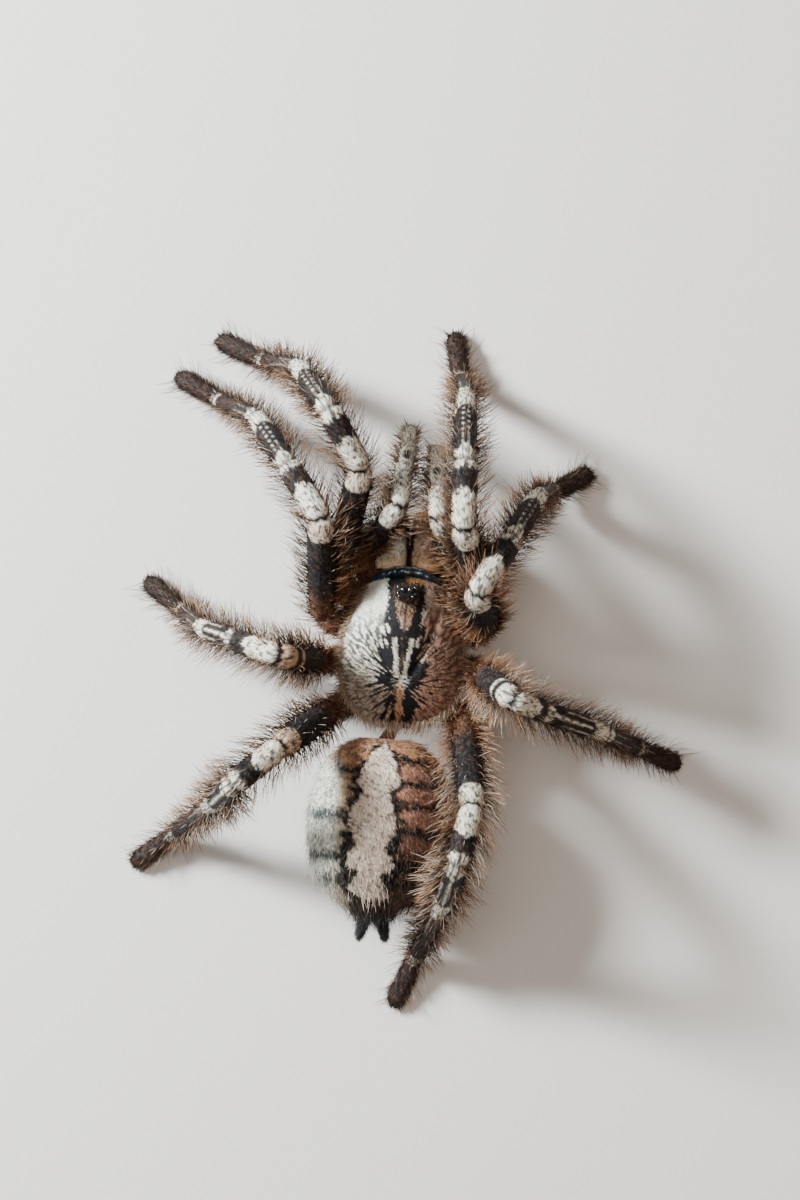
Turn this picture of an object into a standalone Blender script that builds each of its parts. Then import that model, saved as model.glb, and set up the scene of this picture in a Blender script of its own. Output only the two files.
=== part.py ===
import bmesh
import bpy
import numpy as np

# A still tarantula, life size. Lengths here are in millimetres and angles in degrees.
# The head looks along -Y and the spider's left is +X; the feet stand on Z = 0.
MM = 0.001

# Body sizes
CARAPACE_LENGTH = 23.0
CARAPACE_WIDTH = 19.4
CARAPACE_RIM = 14.6      # height of the shield's rim above the floor
CARAPACE_RISE = 5.4      # height of the dome over the rim
HIP_HEIGHT = 13.0        # height of every leg's first joint
ABDOMEN_START = 12.6     # Y of the abdomen's front
ABDOMEN_LENGTH = 27.6
ABDOMEN_WIDTH = 22.2
ABDOMEN_HEIGHT = 19.0
ABDOMEN_CENTRE = 13.6    # height of its axis
ABDOMEN_SIDE = 1.6       # how far it is swung to the animal's left
GAP = 0.3                # clear space between neighbouring solids

# Leg lengths, as shares of the carapace: femur, patella, tibia, metatarsus, tarsus
LEG_SHARES = {
    "1": (0.88, 0.46, 0.69, 0.66, 0.38),
    "2": (0.82, 0.43, 0.60, 0.60, 0.37),
    "3": (0.70, 0.37, 0.48, 0.58, 0.36),
    "4": (0.84, 0.40, 0.63, 0.79, 0.38),
    "palp": (0.57, 0.33, 0.38, 0.33),
}
# Where the first joint of each leg lies, left side; the right side mirrors it
HIPS = {
    "1": (11.4, -10.8),
    "2": (13.0, -5.2),
    "3": (12.2, 1.8),
    "4": (10.2, 9.2),
    "palp": (7.0, -15.4),
}
# Inner end of each coxa, below the carapace
COXA_ROOTS = {
    "1": (3.2, -6.5),
    "2": (3.8, -2.6),
    "3": (3.8, 1.6),
    "4": (3.2, 5.0),
    "palp": (5.2, -8.6),
}
LEG_GIRTH = {"1": 1.0, "2": 1.0, "3": 0.96, "4": 1.0, "palp": 0.82}

# The stance. Bearings turn outward from straight ahead: one for the femur, one for
# the patella and tibia, one for the foot. Slopes rise positive: femur, patella,
# tibia and tarsus; a leg's metatarsus is left to reach the floor, and the palps,
# which have none, are held just over it.
STANCE = {
    ("l", "1"): ((-13, 35, 68), (36, 20, -54, -10)),
    ("l", "2"): ((1, 36, 62), (44, -18, -42, -12)),
    ("l", "3"): ((93, 73, 54), (70, -32, -55, -12)),
    ("l", "4"): ((132, 133, 130), (63, 13, -70, -14)),
    ("r", "1"): ((-27, -2, -10), (66, -12, -45, -20)),
    ("r", "2"): ((-40, 28, 57), (76, -26, -43, -25)),
    ("r", "3"): ((135, 104, 107), (68, -43, -34, -30)),
    ("r", "4"): ((172, 193, 200), (47, 20, -60, -11)),
    ("l", "palp"): ((-39, -5, 0), (54, -43, -54, -58)),
    ("r", "palp"): ((-34, -5, -1), (66, -48, -59, -60)),
}

# Half width and half height along each kind of segment, at these shares of it
RINGS = (0.0, 0.1, 0.36, 0.7, 0.92, 1.0)
GIRTHS = {
    "femur": ((1.5, 1.95, 2.3, 2.4, 2.2, 1.8), (1.6, 2.05, 2.6, 2.6, 2.3, 1.9)),
    "patella": ((1.7, 2.05, 2.15, 2.15, 2.05, 1.7), (1.7, 2.1, 2.25, 2.25, 2.1, 1.7)),
    "tibia": ((1.6, 1.9, 2.0, 1.95, 1.8, 1.5), (1.6, 1.95, 2.05, 2.0, 1.85, 1.5)),
    "metatarsus": ((1.4, 1.6, 1.6, 1.5, 1.5, 1.3), (1.4, 1.6, 1.6, 1.5, 1.45, 1.2)),
    "tarsus": ((1.25, 1.5, 1.65, 1.75, 1.7, 1.3), (1.15, 1.35, 1.35, 1.3, 1.2, 0.95)),
}
LEG_SIDES = {"femur": 12, "patella": 12, "tibia": 12, "metatarsus": 10, "tarsus": 10}
PAD_SINK = 0.35          # how far the foot's round underside is flattened

COLOURS = {
    "coat_dark": ((0.035, 0.026, 0.022), 0.85),
    "coat_pale": ((0.62, 0.56, 0.46), 0.85),
    "coat_brown": ((0.16, 0.10, 0.07), 0.85),
    "shield": ((0.55, 0.50, 0.40), 0.7),
    "abdomen_velvet": ((0.42, 0.36, 0.30), 0.9),
    "underside_velvet": ((0.05, 0.035, 0.03), 0.9),
    "horn": ((0.02, 0.012, 0.01), 0.25),
    "eye_gloss": ((0.01, 0.01, 0.012), 0.1),
}
SEGMENT_COLOURS = {
    "femur": "coat_dark",
    "patella": "coat_pale",
    "tibia": "coat_dark",
    "metatarsus": "coat_dark",
    "tarsus": "coat_brown",
}


def material(name):
    found = bpy.data.materials.get(name)
    if found:
        return found
    colour, roughness = COLOURS[name]
    found = bpy.data.materials.new(name)
    found.use_nodes = True
    shader = found.node_tree.nodes["Principled BSDF"]
    shader.inputs["Base Color"].default_value = (*colour, 1.0)
    shader.inputs["Roughness"].default_value = roughness
    shader.inputs["Metallic"].default_value = 0.0
    return found


def add_solid(name, points, faces, slot):
    # Points come in millimetres; face windings are made to look outward.
    mesh = bpy.data.meshes.new(name)
    mesh.from_pydata((np.asarray(points) * MM).tolist(), [], faces)
    shape = bmesh.new()
    shape.from_mesh(mesh)
    bmesh.ops.recalc_face_normals(shape, faces=shape.faces[:])
    bmesh.ops.triangulate(shape, faces=shape.faces[:])
    shape.to_mesh(mesh)
    shape.free()
    solid = bpy.data.objects.new(name, mesh)
    mesh.materials.append(material(slot))
    model.objects.link(solid)
    solid.parent = stand
    return solid


def unit(vector):
    return np.asarray(vector, float) / np.linalg.norm(vector)


def heading(side, bearing, slope):
    turn = np.radians(bearing)
    rise = np.radians(slope)
    left = 1.0 if side == "l" else -1.0
    flat = np.cos(rise)
    return np.array([left * np.sin(turn) * flat, -np.cos(turn) * flat, np.sin(rise)])


def skin_of_rings(count, sides):
    # Quads between successive rings, and one fan of triangles over each end.
    faces = []
    for ring in range(count - 1):
        for i in range(sides):
            j = (i + 1) % sides
            low = ring * sides
            faces.append((low + i, low + j, low + sides + j, low + sides + i))
    first = count * sides
    last = first + 1
    for i in range(sides):
        j = (i + 1) % sides
        faces.append((first, j, i))
        faces.append((last, first - sides + i, first - sides + j))
    return faces


def limb(start, end, girth, before, after, scale, sides):
    """Points and faces of a tube cut at each end along the plane halfway to its
    neighbour, so that two tubes meeting at a joint leave only the gap between them."""
    start = np.asarray(start, float)
    end = np.asarray(end, float)
    along = unit(end - start)
    length = np.linalg.norm(end - start)
    across = np.cross(along, (0.0, 0.0, 1.0))
    across = unit(across) if np.linalg.norm(across) > 0.05 else np.array([1.0, 0, 0])
    upward = np.cross(across, along)
    turn = np.arange(sides) * 2 * np.pi / sides
    wide = np.array(girth[0]) * scale
    high = np.array(girth[1]) * scale

    def offset(ring):
        flat = np.outer(np.cos(turn) * wide[ring], across)
        return flat + np.outer(np.sin(turn) * high[ring], upward)

    def reach(plane, shift):
        return (GAP / 2 - shift @ plane) / (along @ plane)

    near = unit(along + before)
    far = unit(along + after)
    lean = 0.75 * wide[0]
    begin = np.maximum(reach(near, offset(0)), -lean)
    stop = length - np.maximum(reach(far, -offset(-1)), -lean)
    points = []
    for ring, share in enumerate(RINGS):
        place = begin + (stop - begin) * share
        points.append(start + np.outer(place, along) + offset(ring))
    caps = [points[0].mean(axis=0), points[-1].mean(axis=0)]
    points = np.vstack(points + [np.array(caps)])
    return points, skin_of_rings(len(RINGS), sides)


def leg_path(side, leg):
    """The joints of one limb from hip to toe."""
    bearings, slopes = STANCE[(side, leg)]
    lengths = np.array(LEG_SHARES[leg]) * CARAPACE_LENGTH
    left = 1.0 if side == "l" else -1.0
    x, y = HIPS[leg]
    hip = np.array([left * x, y, HIP_HEIGHT])
    turns = [bearings[0], bearings[1], bearings[1], bearings[2], bearings[2]]
    turns = turns[: len(lengths)]
    fixed = list(slopes)
    if leg != "palp":
        # The height that the metatarsus must lose once the others are placed
        toe = GIRTHS["tarsus"][1][-1] * LEG_GIRTH[leg] * np.cos(np.radians(slopes[-1]))
        rise = np.sin(np.radians(slopes)) @ np.delete(lengths, 3)
        drop = HIP_HEIGHT + rise - (toe - PAD_SINK)
        fixed.insert(3, -np.degrees(np.arcsin(drop / lengths[3])))
    joints = [hip]
    for length, turn, slope in zip(lengths, turns, fixed):
        joints.append(joints[-1] + length * heading(side, turn, slope))
    return joints


def coxa_root(side, leg):
    left = 1.0 if side == "l" else -1.0
    x, y = COXA_ROOTS[leg]
    return np.array([left * x, y, HIP_HEIGHT - 2.0])


def build_leg(side, leg):
    joints = leg_path(side, leg)
    names = ["femur", "patella", "tibia", "metatarsus", "tarsus"]
    if leg == "palp":
        names.remove("metatarsus")
    stem = ("palp_" + side) if leg == "palp" else ("leg_" + side + leg)
    before = unit(joints[0] - coxa_root(side, leg))
    for i, name in enumerate(names):
        along = unit(joints[i + 1] - joints[i])
        last = i == len(names) - 1
        after = along if last else unit(joints[i + 2] - joints[i + 1])
        girth = GIRTHS[name]
        sides = LEG_SIDES[name]
        points, faces = limb(
            joints[i], joints[i + 1], girth, before, after, LEG_GIRTH[leg], sides
        )
        # The sole of the foot is pressed flat on the floor.
        points[:, 2] = np.maximum(points[:, 2], 0.0)
        add_solid(stem + "_" + name, points, faces, SEGMENT_COLOURS[name])
        before = along


def loft(stations, sides, flatten=1.0):
    """A body lofted along Y. Each station gives Y, height of the centre, half width,
    and half height above and below the centre."""
    turn = np.arange(sides) * 2 * np.pi / sides
    points = []
    for y, z, wide, above, below in stations:
        x = wide * np.sign(np.cos(turn)) * np.abs(np.cos(turn)) ** flatten
        lift = np.sin(turn)
        height = np.where(lift > 0, lift * above, lift * below)
        points.append(np.column_stack([x, np.full(sides, y), z + height]))
    ends = [[0.0, stations[0][0], stations[0][1]], [0.0, stations[-1][0], stations[-1][1]]]
    return np.vstack(points + [np.array(ends)]), skin_of_rings(len(stations), sides)


def carapace_half_width(share):
    # A nearly straight front edge, fullest a little behind the middle, rounded rear.
    front = 0.62 + 0.38 * np.sin(np.clip(share / 0.58, 0, 1) * np.pi / 2) ** 1.15
    rear = np.sqrt(np.clip(1 - (np.clip(share - 0.58, 0, 1) / 0.425) ** 2.3, 0.02, 1))
    return CARAPACE_WIDTH / 2 * front * rear


def carapace_top(across, share):
    """Height over the rim. The head region stands higher than the chest behind it,
    with a groove running out from the pit on either side."""
    edge = np.clip(1 - np.abs(across) ** 2.6, 0, 1) ** 0.6
    long = np.clip(np.sin(np.pi * np.clip(share * 0.9 + 0.14, 0, 1)), 0, 1) ** 0.45
    dome = CARAPACE_RISE * (0.84 - 0.16 * share) * long * edge
    head = np.exp(-((share - 0.3) / 0.26) ** 2 - (across / 0.42) ** 2)
    pit = np.exp(-((share - 0.67) / 0.05) ** 2 - (across / 0.13) ** 2)
    groove = np.exp(-((np.abs(across) - 0.16 - (0.64 - share) * 1.15) / 0.09) ** 2)
    groove = groove * np.clip((0.68 - share) / 0.1, 0, 1) * edge
    return dome + 0.95 * head * edge - 0.9 * pit - 0.42 * groove


def build_carapace():
    rows = 18
    columns = 16
    shares = 0.5 - 0.5 * np.cos(np.pi * np.linspace(0.06, 0.965, rows))
    shares = (shares - shares[0]) / (shares[-1] - shares[0])
    across = np.sin(np.linspace(-1, 1, columns + 1) * np.pi / 2)
    y = (shares - 0.5) * CARAPACE_LENGTH
    grid_share, grid_across = np.meshgrid(shares, across, indexing="ij")
    wide = carapace_half_width(grid_share)
    # The front edge bows forward slightly in the middle.
    bow = -0.55 * (1 - grid_across**2) * np.clip(1 - grid_share * 5, 0, 1)
    rise = np.maximum(carapace_top(grid_across, grid_share), 0.35)
    top = np.stack([grid_across * wide, y[:, None] + bow, CARAPACE_RIM + rise], axis=-1)
    low = np.stack([grid_across * wide, y[:, None] + bow, np.full_like(rise, CARAPACE_RIM)], axis=-1)
    size = rows * (columns + 1)
    faces = []
    for i in range(rows - 1):
        for j in range(columns):
            a = i * (columns + 1) + j
            b = a + columns + 1
            faces.append((a, a + 1, b + 1, b))
    # The floor of the shield is one flat face; a short wall joins it to the top.
    rim = [(i, 0) for i in range(rows)]
    rim += [(rows - 1, j) for j in range(1, columns + 1)]
    rim += [(i, columns) for i in range(rows - 2, -1, -1)]
    rim += [(0, j) for j in range(columns - 1, 0, -1)]
    ring = [i * (columns + 1) + j for i, j in rim]
    points = np.vstack([top.reshape(-1, 3), low.reshape(-1, 3)[ring]])
    count = len(ring)
    for k in range(count):
        n = (k + 1) % count
        faces.append((ring[k], size + k, size + n, ring[n]))
    faces.append(tuple(size + k for k in range(count)))
    add_solid("carapace", points, faces, "shield")


def ellipsoid(centre, radii, rows=8, sides=12):
    angles = np.linspace(0, np.pi, rows + 1)[1:-1]
    turn = np.arange(sides) * 2 * np.pi / sides
    points = []
    for angle in angles:
        ring = np.column_stack(
            [np.sin(angle) * np.cos(turn), np.sin(angle) * np.sin(turn), np.full(sides, np.cos(angle))]
        )
        points.append(ring)
    points.append(np.array([[0, 0, 1.0], [0, 0, -1.0]]))
    points = np.vstack(points) * np.array(radii) + np.array(centre)
    return points, skin_of_rings(rows - 1, sides)


def joined(name, shapes, slot):
    """One solid out of several that overlap."""
    first = None
    for index, (points, faces) in enumerate(shapes):
        solid = add_solid(name if index == 0 else name + "_tool", points, faces, slot)
        if index == 0:
            first = solid
            continue
        union = first.modifiers.new("union", "BOOLEAN")
        union.operation = "UNION"
        union.solver = "EXACT"
        union.object = solid
        bpy.context.view_layer.update()
        graph = bpy.context.evaluated_depsgraph_get()
        merged = bpy.data.meshes.new_from_object(first.evaluated_get(graph))
        first.modifiers.clear()
        first.data = merged
        bpy.data.objects.remove(solid)
    return first


def build_underside():
    """Breastplate, lip and the stumps that the legs start from, as one solid."""
    level = HIP_HEIGHT - 1.7
    plate = loft(
        [
            (-11.6, level + 0.6, 1.6, 1.2, 1.2),
            (-10.2, level + 0.2, 3.2, 2.2, 2.2),
            (-6.0, level, 5.0, 2.6, 3.2),
            (0.0, level, 5.6, 2.6, 3.5),
            (5.5, level, 4.6, 2.6, 3.0),
            (9.2, level + 0.4, 2.6, 2.0, 2.0),
            (10.2, level + 0.6, 1.4, 1.2, 1.2),
        ],
        16,
    )
    shapes = [plate]
    girth = ((2.2, 2.4, 2.5, 2.4, 2.2, 1.7), (2.0, 2.2, 2.2, 2.1, 2.0, 1.7))
    for leg in HIPS:
        for side in ("l", "r"):
            joints = leg_path(side, leg)
            root = coxa_root(side, leg)
            along = unit(joints[0] - root)
            after = unit(joints[1] - joints[0])
            size = 1.02 * LEG_GIRTH[leg] ** 2
            shapes.append(limb(root, joints[0], girth, along, after, size, 8))
    joined("underside", shapes, "underside_velvet")


def build_chelicera(side):
    left = 1.0 if side == "l" else -1.0
    stations = [
        (-12.6, 14.0, 2.2, 1.9, 2.8),
        (-13.6, 14.0, 2.5, 2.5, 4.2),
        (-15.6, 13.1, 2.45, 2.4, 4.3),
        (-17.8, 11.8, 2.3, 2.15, 3.9),
        (-19.8, 10.5, 2.1, 2.1, 3.1),
        (-21.2, 9.9, 1.7, 1.8, 2.2),
        (-21.9, 9.6, 0.9, 0.9, 1.1),
    ]
    points, faces = loft(stations, 12)
    points[:, 0] += left * 2.66
    add_solid("chelicera_" + side, points, faces, "coat_brown")


def build_fang(side):
    # A horn folded back under the chelicera, thinning towards its point.
    left = 1.0 if side == "l" else -1.0
    rows = 7
    sides = 8
    turn = np.arange(sides) * 2 * np.pi / sides
    shares = np.linspace(0, 1, rows)
    y = -20.6 + 7.6 * shares
    z = 6.7 - 1.9 * np.sin(np.pi * shares * 0.9)
    x = left * (2.9 - 0.9 * shares)
    size = 0.85 - 0.57 * shares
    points = []
    for i in range(rows):
        ring = np.column_stack([np.cos(turn) * size[i], np.zeros(sides), np.sin(turn) * size[i]])
        points.append(ring + np.array([x[i], y[i], z[i]]))
    ends = np.array([[x[0], y[0], z[0]], [x[-1], y[-1], z[-1]]])
    points = np.vstack(points + [ends])
    add_solid("fang_" + side, points, skin_of_rings(rows, sides), "horn")


def build_eyes():
    """The low mound behind the front edge with its eight eyes."""
    top = CARAPACE_RIM + CARAPACE_RISE + 0.15
    centre = (0.0, -CARAPACE_LENGTH / 2 + 2.4, top)
    shapes = [ellipsoid(centre, (1.9, 1.25, 0.9), 7, 12)]
    # side, backward, up from the mound's middle, and radius, for one of each pair
    places = [
        (0.55, -0.35, 0.62, 0.46),
        (1.3, -0.75, 0.2, 0.38),
        (1.25, 0.15, 0.36, 0.33),
        (1.0, 0.62, 0.3, 0.3),
    ]
    for x, y, z, size in places:
        for left in (1.0, -1.0):
            place = (left * x, centre[1] + y, top + z)
            shapes.append(ellipsoid(place, (size, size, size), 5, 6))
    joined("eyes", shapes, "eye_gloss")


def build_abdomen():
    shares = np.array([0.0, 0.03, 0.09, 0.18, 0.3, 0.44, 0.58, 0.71, 0.82, 0.9, 0.96, 1.0])
    # Rounded in front, fullest just past the middle, drawn in towards the spinnerets
    wide = np.array([0.3, 0.52, 0.71, 0.86, 0.96, 1.0, 0.99, 0.91, 0.75, 0.56, 0.36, 0.16])
    high = np.array([0.3, 0.54, 0.74, 0.88, 0.97, 1.0, 0.98, 0.9, 0.75, 0.57, 0.38, 0.18])
    stations = []
    for share, w, h in zip(shares, wide, high):
        y = ABDOMEN_START + share * ABDOMEN_LENGTH
        z = ABDOMEN_CENTRE + 0.6 * (0.5 - share)
        half = ABDOMEN_HEIGHT / 2 * h
        stations.append((y, z, ABDOMEN_WIDTH / 2 * w, half, half))
    points, faces = loft(stations, 18, 0.94)
    points[:, 0] += ABDOMEN_SIDE
    add_solid("abdomen", points, faces, "abdomen_velvet")


def build_spinneret(side):
    left = 1.0 if side == "l" else -1.0
    rear = ABDOMEN_START + ABDOMEN_LENGTH
    start = (ABDOMEN_SIDE + left * 1.35, rear + 0.2, ABDOMEN_CENTRE - 1.6)
    end = (ABDOMEN_SIDE + left * 2.0, rear + 3.2, ABDOMEN_CENTRE - 0.7)
    along = unit(np.subtract(end, start))
    girth = ((0.62, 0.72, 0.72, 0.62, 0.45, 0.3), (0.62, 0.72, 0.72, 0.62, 0.45, 0.3))
    points, faces = limb(start, end, girth, along, along, 1.0, 8)
    add_solid("spinneret_" + side, points, faces, "coat_brown")


def build_pedicel():
    points, faces = loft(
        [(10.5, 12.2, 1.3, 1.2, 1.2), (11.4, 12.4, 1.1, 1.0, 1.0), (12.3, 12.8, 1.3, 1.2, 1.2)], 10
    )
    # It leans towards the swung abdomen.
    points[:, 0] += ABDOMEN_SIDE * (points[:, 1] - 10.0) / 3.2
    add_solid("pedicel", points, faces, "underside_velvet")


for old in list(bpy.data.objects):
    bpy.data.objects.remove(old)
bpy.context.scene.unit_settings.system = "METRIC"
model = bpy.data.collections.new("tarantula")
bpy.context.scene.collection.children.link(model)
stand = bpy.data.objects.new("tarantula_root", None)
model.objects.link(stand)

for leg in LEG_SHARES:
    for side in ("l", "r"):
        build_leg(side, leg)
build_underside()
build_carapace()
build_eyes()
build_pedicel()
build_abdomen()
for side in ("l", "r"):
    build_chelicera(side)
    build_fang(side)
    build_spinneret(side)

# The origin goes to the middle of the model's footprint, on the floor.
corners = np.vstack(
    [np.array([v.co[:] for v in o.data.vertices]) for o in model.objects if o.type == "MESH"]
)
middle = (corners.min(axis=0) + corners.max(axis=0)) / 2
stand.location = (-middle[0], -middle[1], 0.0)
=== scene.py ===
import bpy
import numpy as np
from mathutils import Matrix, Vector


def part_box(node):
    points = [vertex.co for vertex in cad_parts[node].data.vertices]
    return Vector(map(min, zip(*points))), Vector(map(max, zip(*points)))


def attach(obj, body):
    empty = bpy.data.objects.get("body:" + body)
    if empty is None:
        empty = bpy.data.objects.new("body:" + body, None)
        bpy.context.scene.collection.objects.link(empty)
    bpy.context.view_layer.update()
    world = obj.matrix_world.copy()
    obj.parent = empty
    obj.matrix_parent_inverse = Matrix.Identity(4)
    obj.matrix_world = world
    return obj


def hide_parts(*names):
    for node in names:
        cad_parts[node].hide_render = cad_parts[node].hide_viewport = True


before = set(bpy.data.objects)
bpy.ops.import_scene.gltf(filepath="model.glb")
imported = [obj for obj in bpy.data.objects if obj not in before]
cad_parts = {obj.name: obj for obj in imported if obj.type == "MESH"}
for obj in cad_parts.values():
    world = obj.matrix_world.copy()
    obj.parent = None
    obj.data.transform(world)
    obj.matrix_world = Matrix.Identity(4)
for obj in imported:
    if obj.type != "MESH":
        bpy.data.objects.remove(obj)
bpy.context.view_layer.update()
mm = 0.001
floorGap = 0.02  # nothing comes nearer to the floor than this
print("frame loaded")


# Small tools. Shapes are worked out in millimetres, then scaled when they become a mesh.

def unit(v):
    # the same direction with length 1
    return v / np.maximum(np.linalg.norm(v, axis=-1, keepdims=True), 1e-9)


def soft(x, edge, width):
    # smooth step from 0 to 1, centred on the edge
    t = np.clip((x - edge) / width + 0.5, 0, 1)
    return t * t * (3 - 2 * t)


def hump(x, centre, width):
    # bell that is 1 at the centre
    return np.exp(-(((x - centre) / width) ** 2))


def fullTurn(count):
    # evenly spaced angles all the way round
    return np.arange(count) * 2 * np.pi / count


def ripple(places, size, seed):
    # soft random field: the sum of waves of about one size in random directions, about -2 to 2
    rng = np.random.default_rng(seed)
    waves = unit(rng.normal(size=(14, places.shape[-1]))) * rng.uniform(0.6, 1.5, (14, 1))
    phase = rng.uniform(0, 6.283, 14)
    return np.sin(places @ waves.T * (6.283 / size) + phase).sum(-1) / 2.65


def blend(a, b, share):
    # from a to b by a share, which is held between 0 and 1
    share = np.clip(share, 0, 1)[..., None]
    return np.asarray(a) * (1 - share) + np.asarray(b) * share


def tubeFaces(rows, sides):
    # triangles between neighbouring rings, and a fan over each end
    r, s = np.meshgrid(np.arange(rows - 1), np.arange(sides), indexing="ij")
    a = r * sides + s
    b = r * sides + (s + 1) % sides
    wall = np.stack([a, b, b + sides, a, b + sides, a + sides], -1).reshape(-1, 3)
    i = np.arange(sides)
    j = (i + 1) % sides
    first = rows * sides
    start = np.stack([np.full(sides, first), j, i], -1)
    end = np.stack([np.full(sides, first + 1), first - sides + i, first - sides + j], -1)
    return np.vstack([wall, start, end])


def closeTube(rings):
    # rings is rows x sides x 3, of places or of colours; the middles of the two ends are added
    ends = np.stack([rings[0].mean(0), rings[-1].mean(0)])
    return np.vstack([rings.reshape(-1, 3), ends])


def addPiece(name, points, faces, finish, colour=None, flow=None, uv=None, nodes=()):
    # a mesh from whole arrays, riding on the one body and standing in for its solids
    mesh = bpy.data.meshes.new(name)
    points, faces = np.asarray(points), np.asarray(faces)
    # the signed volume tells whether the faces look outward
    corner = points[faces]
    if (corner[:, 0] * np.cross(corner[:, 1], corner[:, 2])).sum() < 0:
        faces = faces[:, ::-1]
    mesh.vertices.add(len(points))
    mesh.vertices.foreach_set("co", (points * mm).astype(np.float32).ravel())
    mesh.loops.add(faces.size)
    mesh.loops.foreach_set("vertex_index", faces.astype(np.int32).ravel())
    mesh.polygons.add(len(faces))
    mesh.polygons.foreach_set("loop_start", np.arange(0, faces.size, 3, dtype=np.int32))
    mesh.polygons.foreach_set("use_smooth", np.ones(len(faces), bool))
    if colour is not None:
        layer = mesh.attributes.new("coatColour", "FLOAT_COLOR", "POINT")
        full = np.ones((len(points), 4), np.float32)
        full[:, :3] = np.clip(colour, 0, 1)
        layer.data.foreach_set("color", full.ravel())
    if flow is not None:
        layer = mesh.attributes.new("flow", "FLOAT_VECTOR", "POINT")
        layer.data.foreach_set("vector", flow.astype(np.float32).ravel())
    if uv is not None:
        layer = mesh.uv_layers.new(name="OFBake")
        layer.data.foreach_set("uv", uv[faces.ravel()].astype(np.float32).ravel())
    mesh.update(calc_edges=True)
    mesh.validate()
    mesh.materials.append(finish)
    piece = bpy.data.objects.new(name, mesh)
    bpy.context.scene.collection.objects.link(piece)
    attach(piece, "root")
    if nodes:
        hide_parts(*nodes)


# Finishes

class Wire:
    # a socket that takes arithmetic; each operation adds its Math node
    def __init__(self, sheet, socket):
        self.sheet = sheet
        self.socket = socket

    def reckon(self, operation, a, b):
        return self.sheet.node("ShaderNodeMath", {"operation": operation}, {0: a, 1: b})

    def __add__(self, other):
        return self.reckon("ADD", self, other)

    def __radd__(self, other):
        return self.reckon("ADD", other, self)

    def __sub__(self, other):
        return self.reckon("SUBTRACT", self, other)

    def __rsub__(self, other):
        return self.reckon("SUBTRACT", other, self)

    def __mul__(self, other):
        return self.reckon("MULTIPLY", self, other)

    def __rmul__(self, other):
        return self.reckon("MULTIPLY", other, self)


class Sheet:
    # one material and its nodes
    def __init__(self, name, **fixed):
        self.finish = bpy.data.materials.new(name)
        self.finish.use_nodes = True
        self.nodes = self.finish.node_tree.nodes
        self.links = self.finish.node_tree.links
        self.shader = self.nodes["Principled BSDF"]
        for socket, value in fixed.items():
            self.feed(self.shader.inputs[socket.replace("_", " ")], value)

    def feed(self, socket, value):
        if isinstance(value, Wire):
            self.links.new(value.socket, socket)
        elif isinstance(value, (tuple, list)) and len(value) == 3 and socket.type == "RGBA":
            socket.default_value = (*value, 1)
        else:
            socket.default_value = value

    def node(self, kind, settings, sockets, out=0):
        made = self.nodes.new(kind)
        for key, value in settings.items():
            setattr(made, key, value)
        for key, value in sockets.items():
            self.feed(made.inputs[key], value)
        return Wire(self, made.outputs[out])

    def set(self, **sockets):
        for socket, value in sockets.items():
            self.feed(self.shader.inputs[socket.replace("_", " ")], value)
        return self.finish

    def tinted(self, colour, factor):
        # colour times a number, as a colour
        grey = self.node("ShaderNodeCombineColor", {}, {0: factor, 1: factor, 2: factor})
        sockets = {0: 1.0, 6: colour, 7: grey}
        return self.node("ShaderNodeMix", {"data_type": "RGBA", "blend_type": "MULTIPLY"}, sockets, 2)


def noise(sheet, where, scale, detail, rough=0.5):
    sockets = {"Vector": where, "Scale": scale, "Detail": detail, "Roughness": rough}
    return sheet.node("ShaderNodeTexNoise", {}, sockets)


def bumpOf(sheet, strength, distance, height):
    sockets = {"Strength": strength, "Distance": distance, "Height": height}
    return sheet.node("ShaderNodeBump", {}, sockets)


velvetLook = {
    "streak": 3.2,  # how fine the streaks are
    "streakDepth": 0.55,
    "fleck": 1.7,
    "bump": 0.35,
    "roughness": 0.72,
    "sheen": 0.02,
    "sheenTint": (0.6, 0.8, 1.0),
}


def velvetFinish(name, look):
    # close-lying hair: the piece's own colours, broken by fine streaks along the hair
    sheet = Sheet(name, Sheen_Weight=look["sheen"], Sheen_Roughness=0.5, Sheen_Tint=look["sheenTint"],
                  Specular_IOR_Level=0.15)
    colour = sheet.node("ShaderNodeAttribute", {"attribute_name": "coatColour"}, {})
    flow = sheet.node("ShaderNodeAttribute", {"attribute_name": "flow"}, {}, 1)
    streak = noise(sheet, flow, look["streak"], 3.0, 0.6)
    fleck = noise(sheet, flow, look["fleck"], 2.0)
    deep = look["streakDepth"]
    shade = 1.0 - deep * 0.5 + deep * ((streak - 0.5) * 2.4 + (fleck - 0.5) * 1.0)
    rough = look["roughness"] + 0.25 * (streak - 0.5)
    bump = bumpOf(sheet, look["bump"], 0.0002, streak + 0.5 * fleck)
    return sheet.set(Base_Color=sheet.tinted(colour, shade), Roughness=rough, Normal=bump)


def hairFinish(name, roughness):
    # the tufts' own colours, a little uneven
    sheet = Sheet(name, Specular_IOR_Level=0.14)
    colour = sheet.node("ShaderNodeAttribute", {"attribute_name": "coatColour"}, {})
    place = sheet.node("ShaderNodeTexCoord", {}, {}, 3)
    vary = noise(sheet, place, 900.0, 1.0)
    tone = sheet.tinted(colour, 0.8 + 0.4 * vary)
    return sheet.set(Base_Color=tone, Roughness=roughness + 0.15 * vary)


def hornFinish(name, colour, roughness, coat, shine=0.6):
    # one dark tone under a clear coat, with a fine grain
    sheet = Sheet(name, Coat_Roughness=0.08, Specular_IOR_Level=shine)
    place = sheet.node("ShaderNodeTexCoord", {}, {}, 3)
    vary = noise(sheet, place, 1400.0, 3.0)
    tone = sheet.tinted(colour, 0.7 + 0.6 * vary)
    bump = bumpOf(sheet, 0.15, 0.00005, vary)
    return sheet.set(Base_Color=tone, Roughness=roughness + 0.1 * vary, Coat_Weight=coat, Normal=bump)


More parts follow.
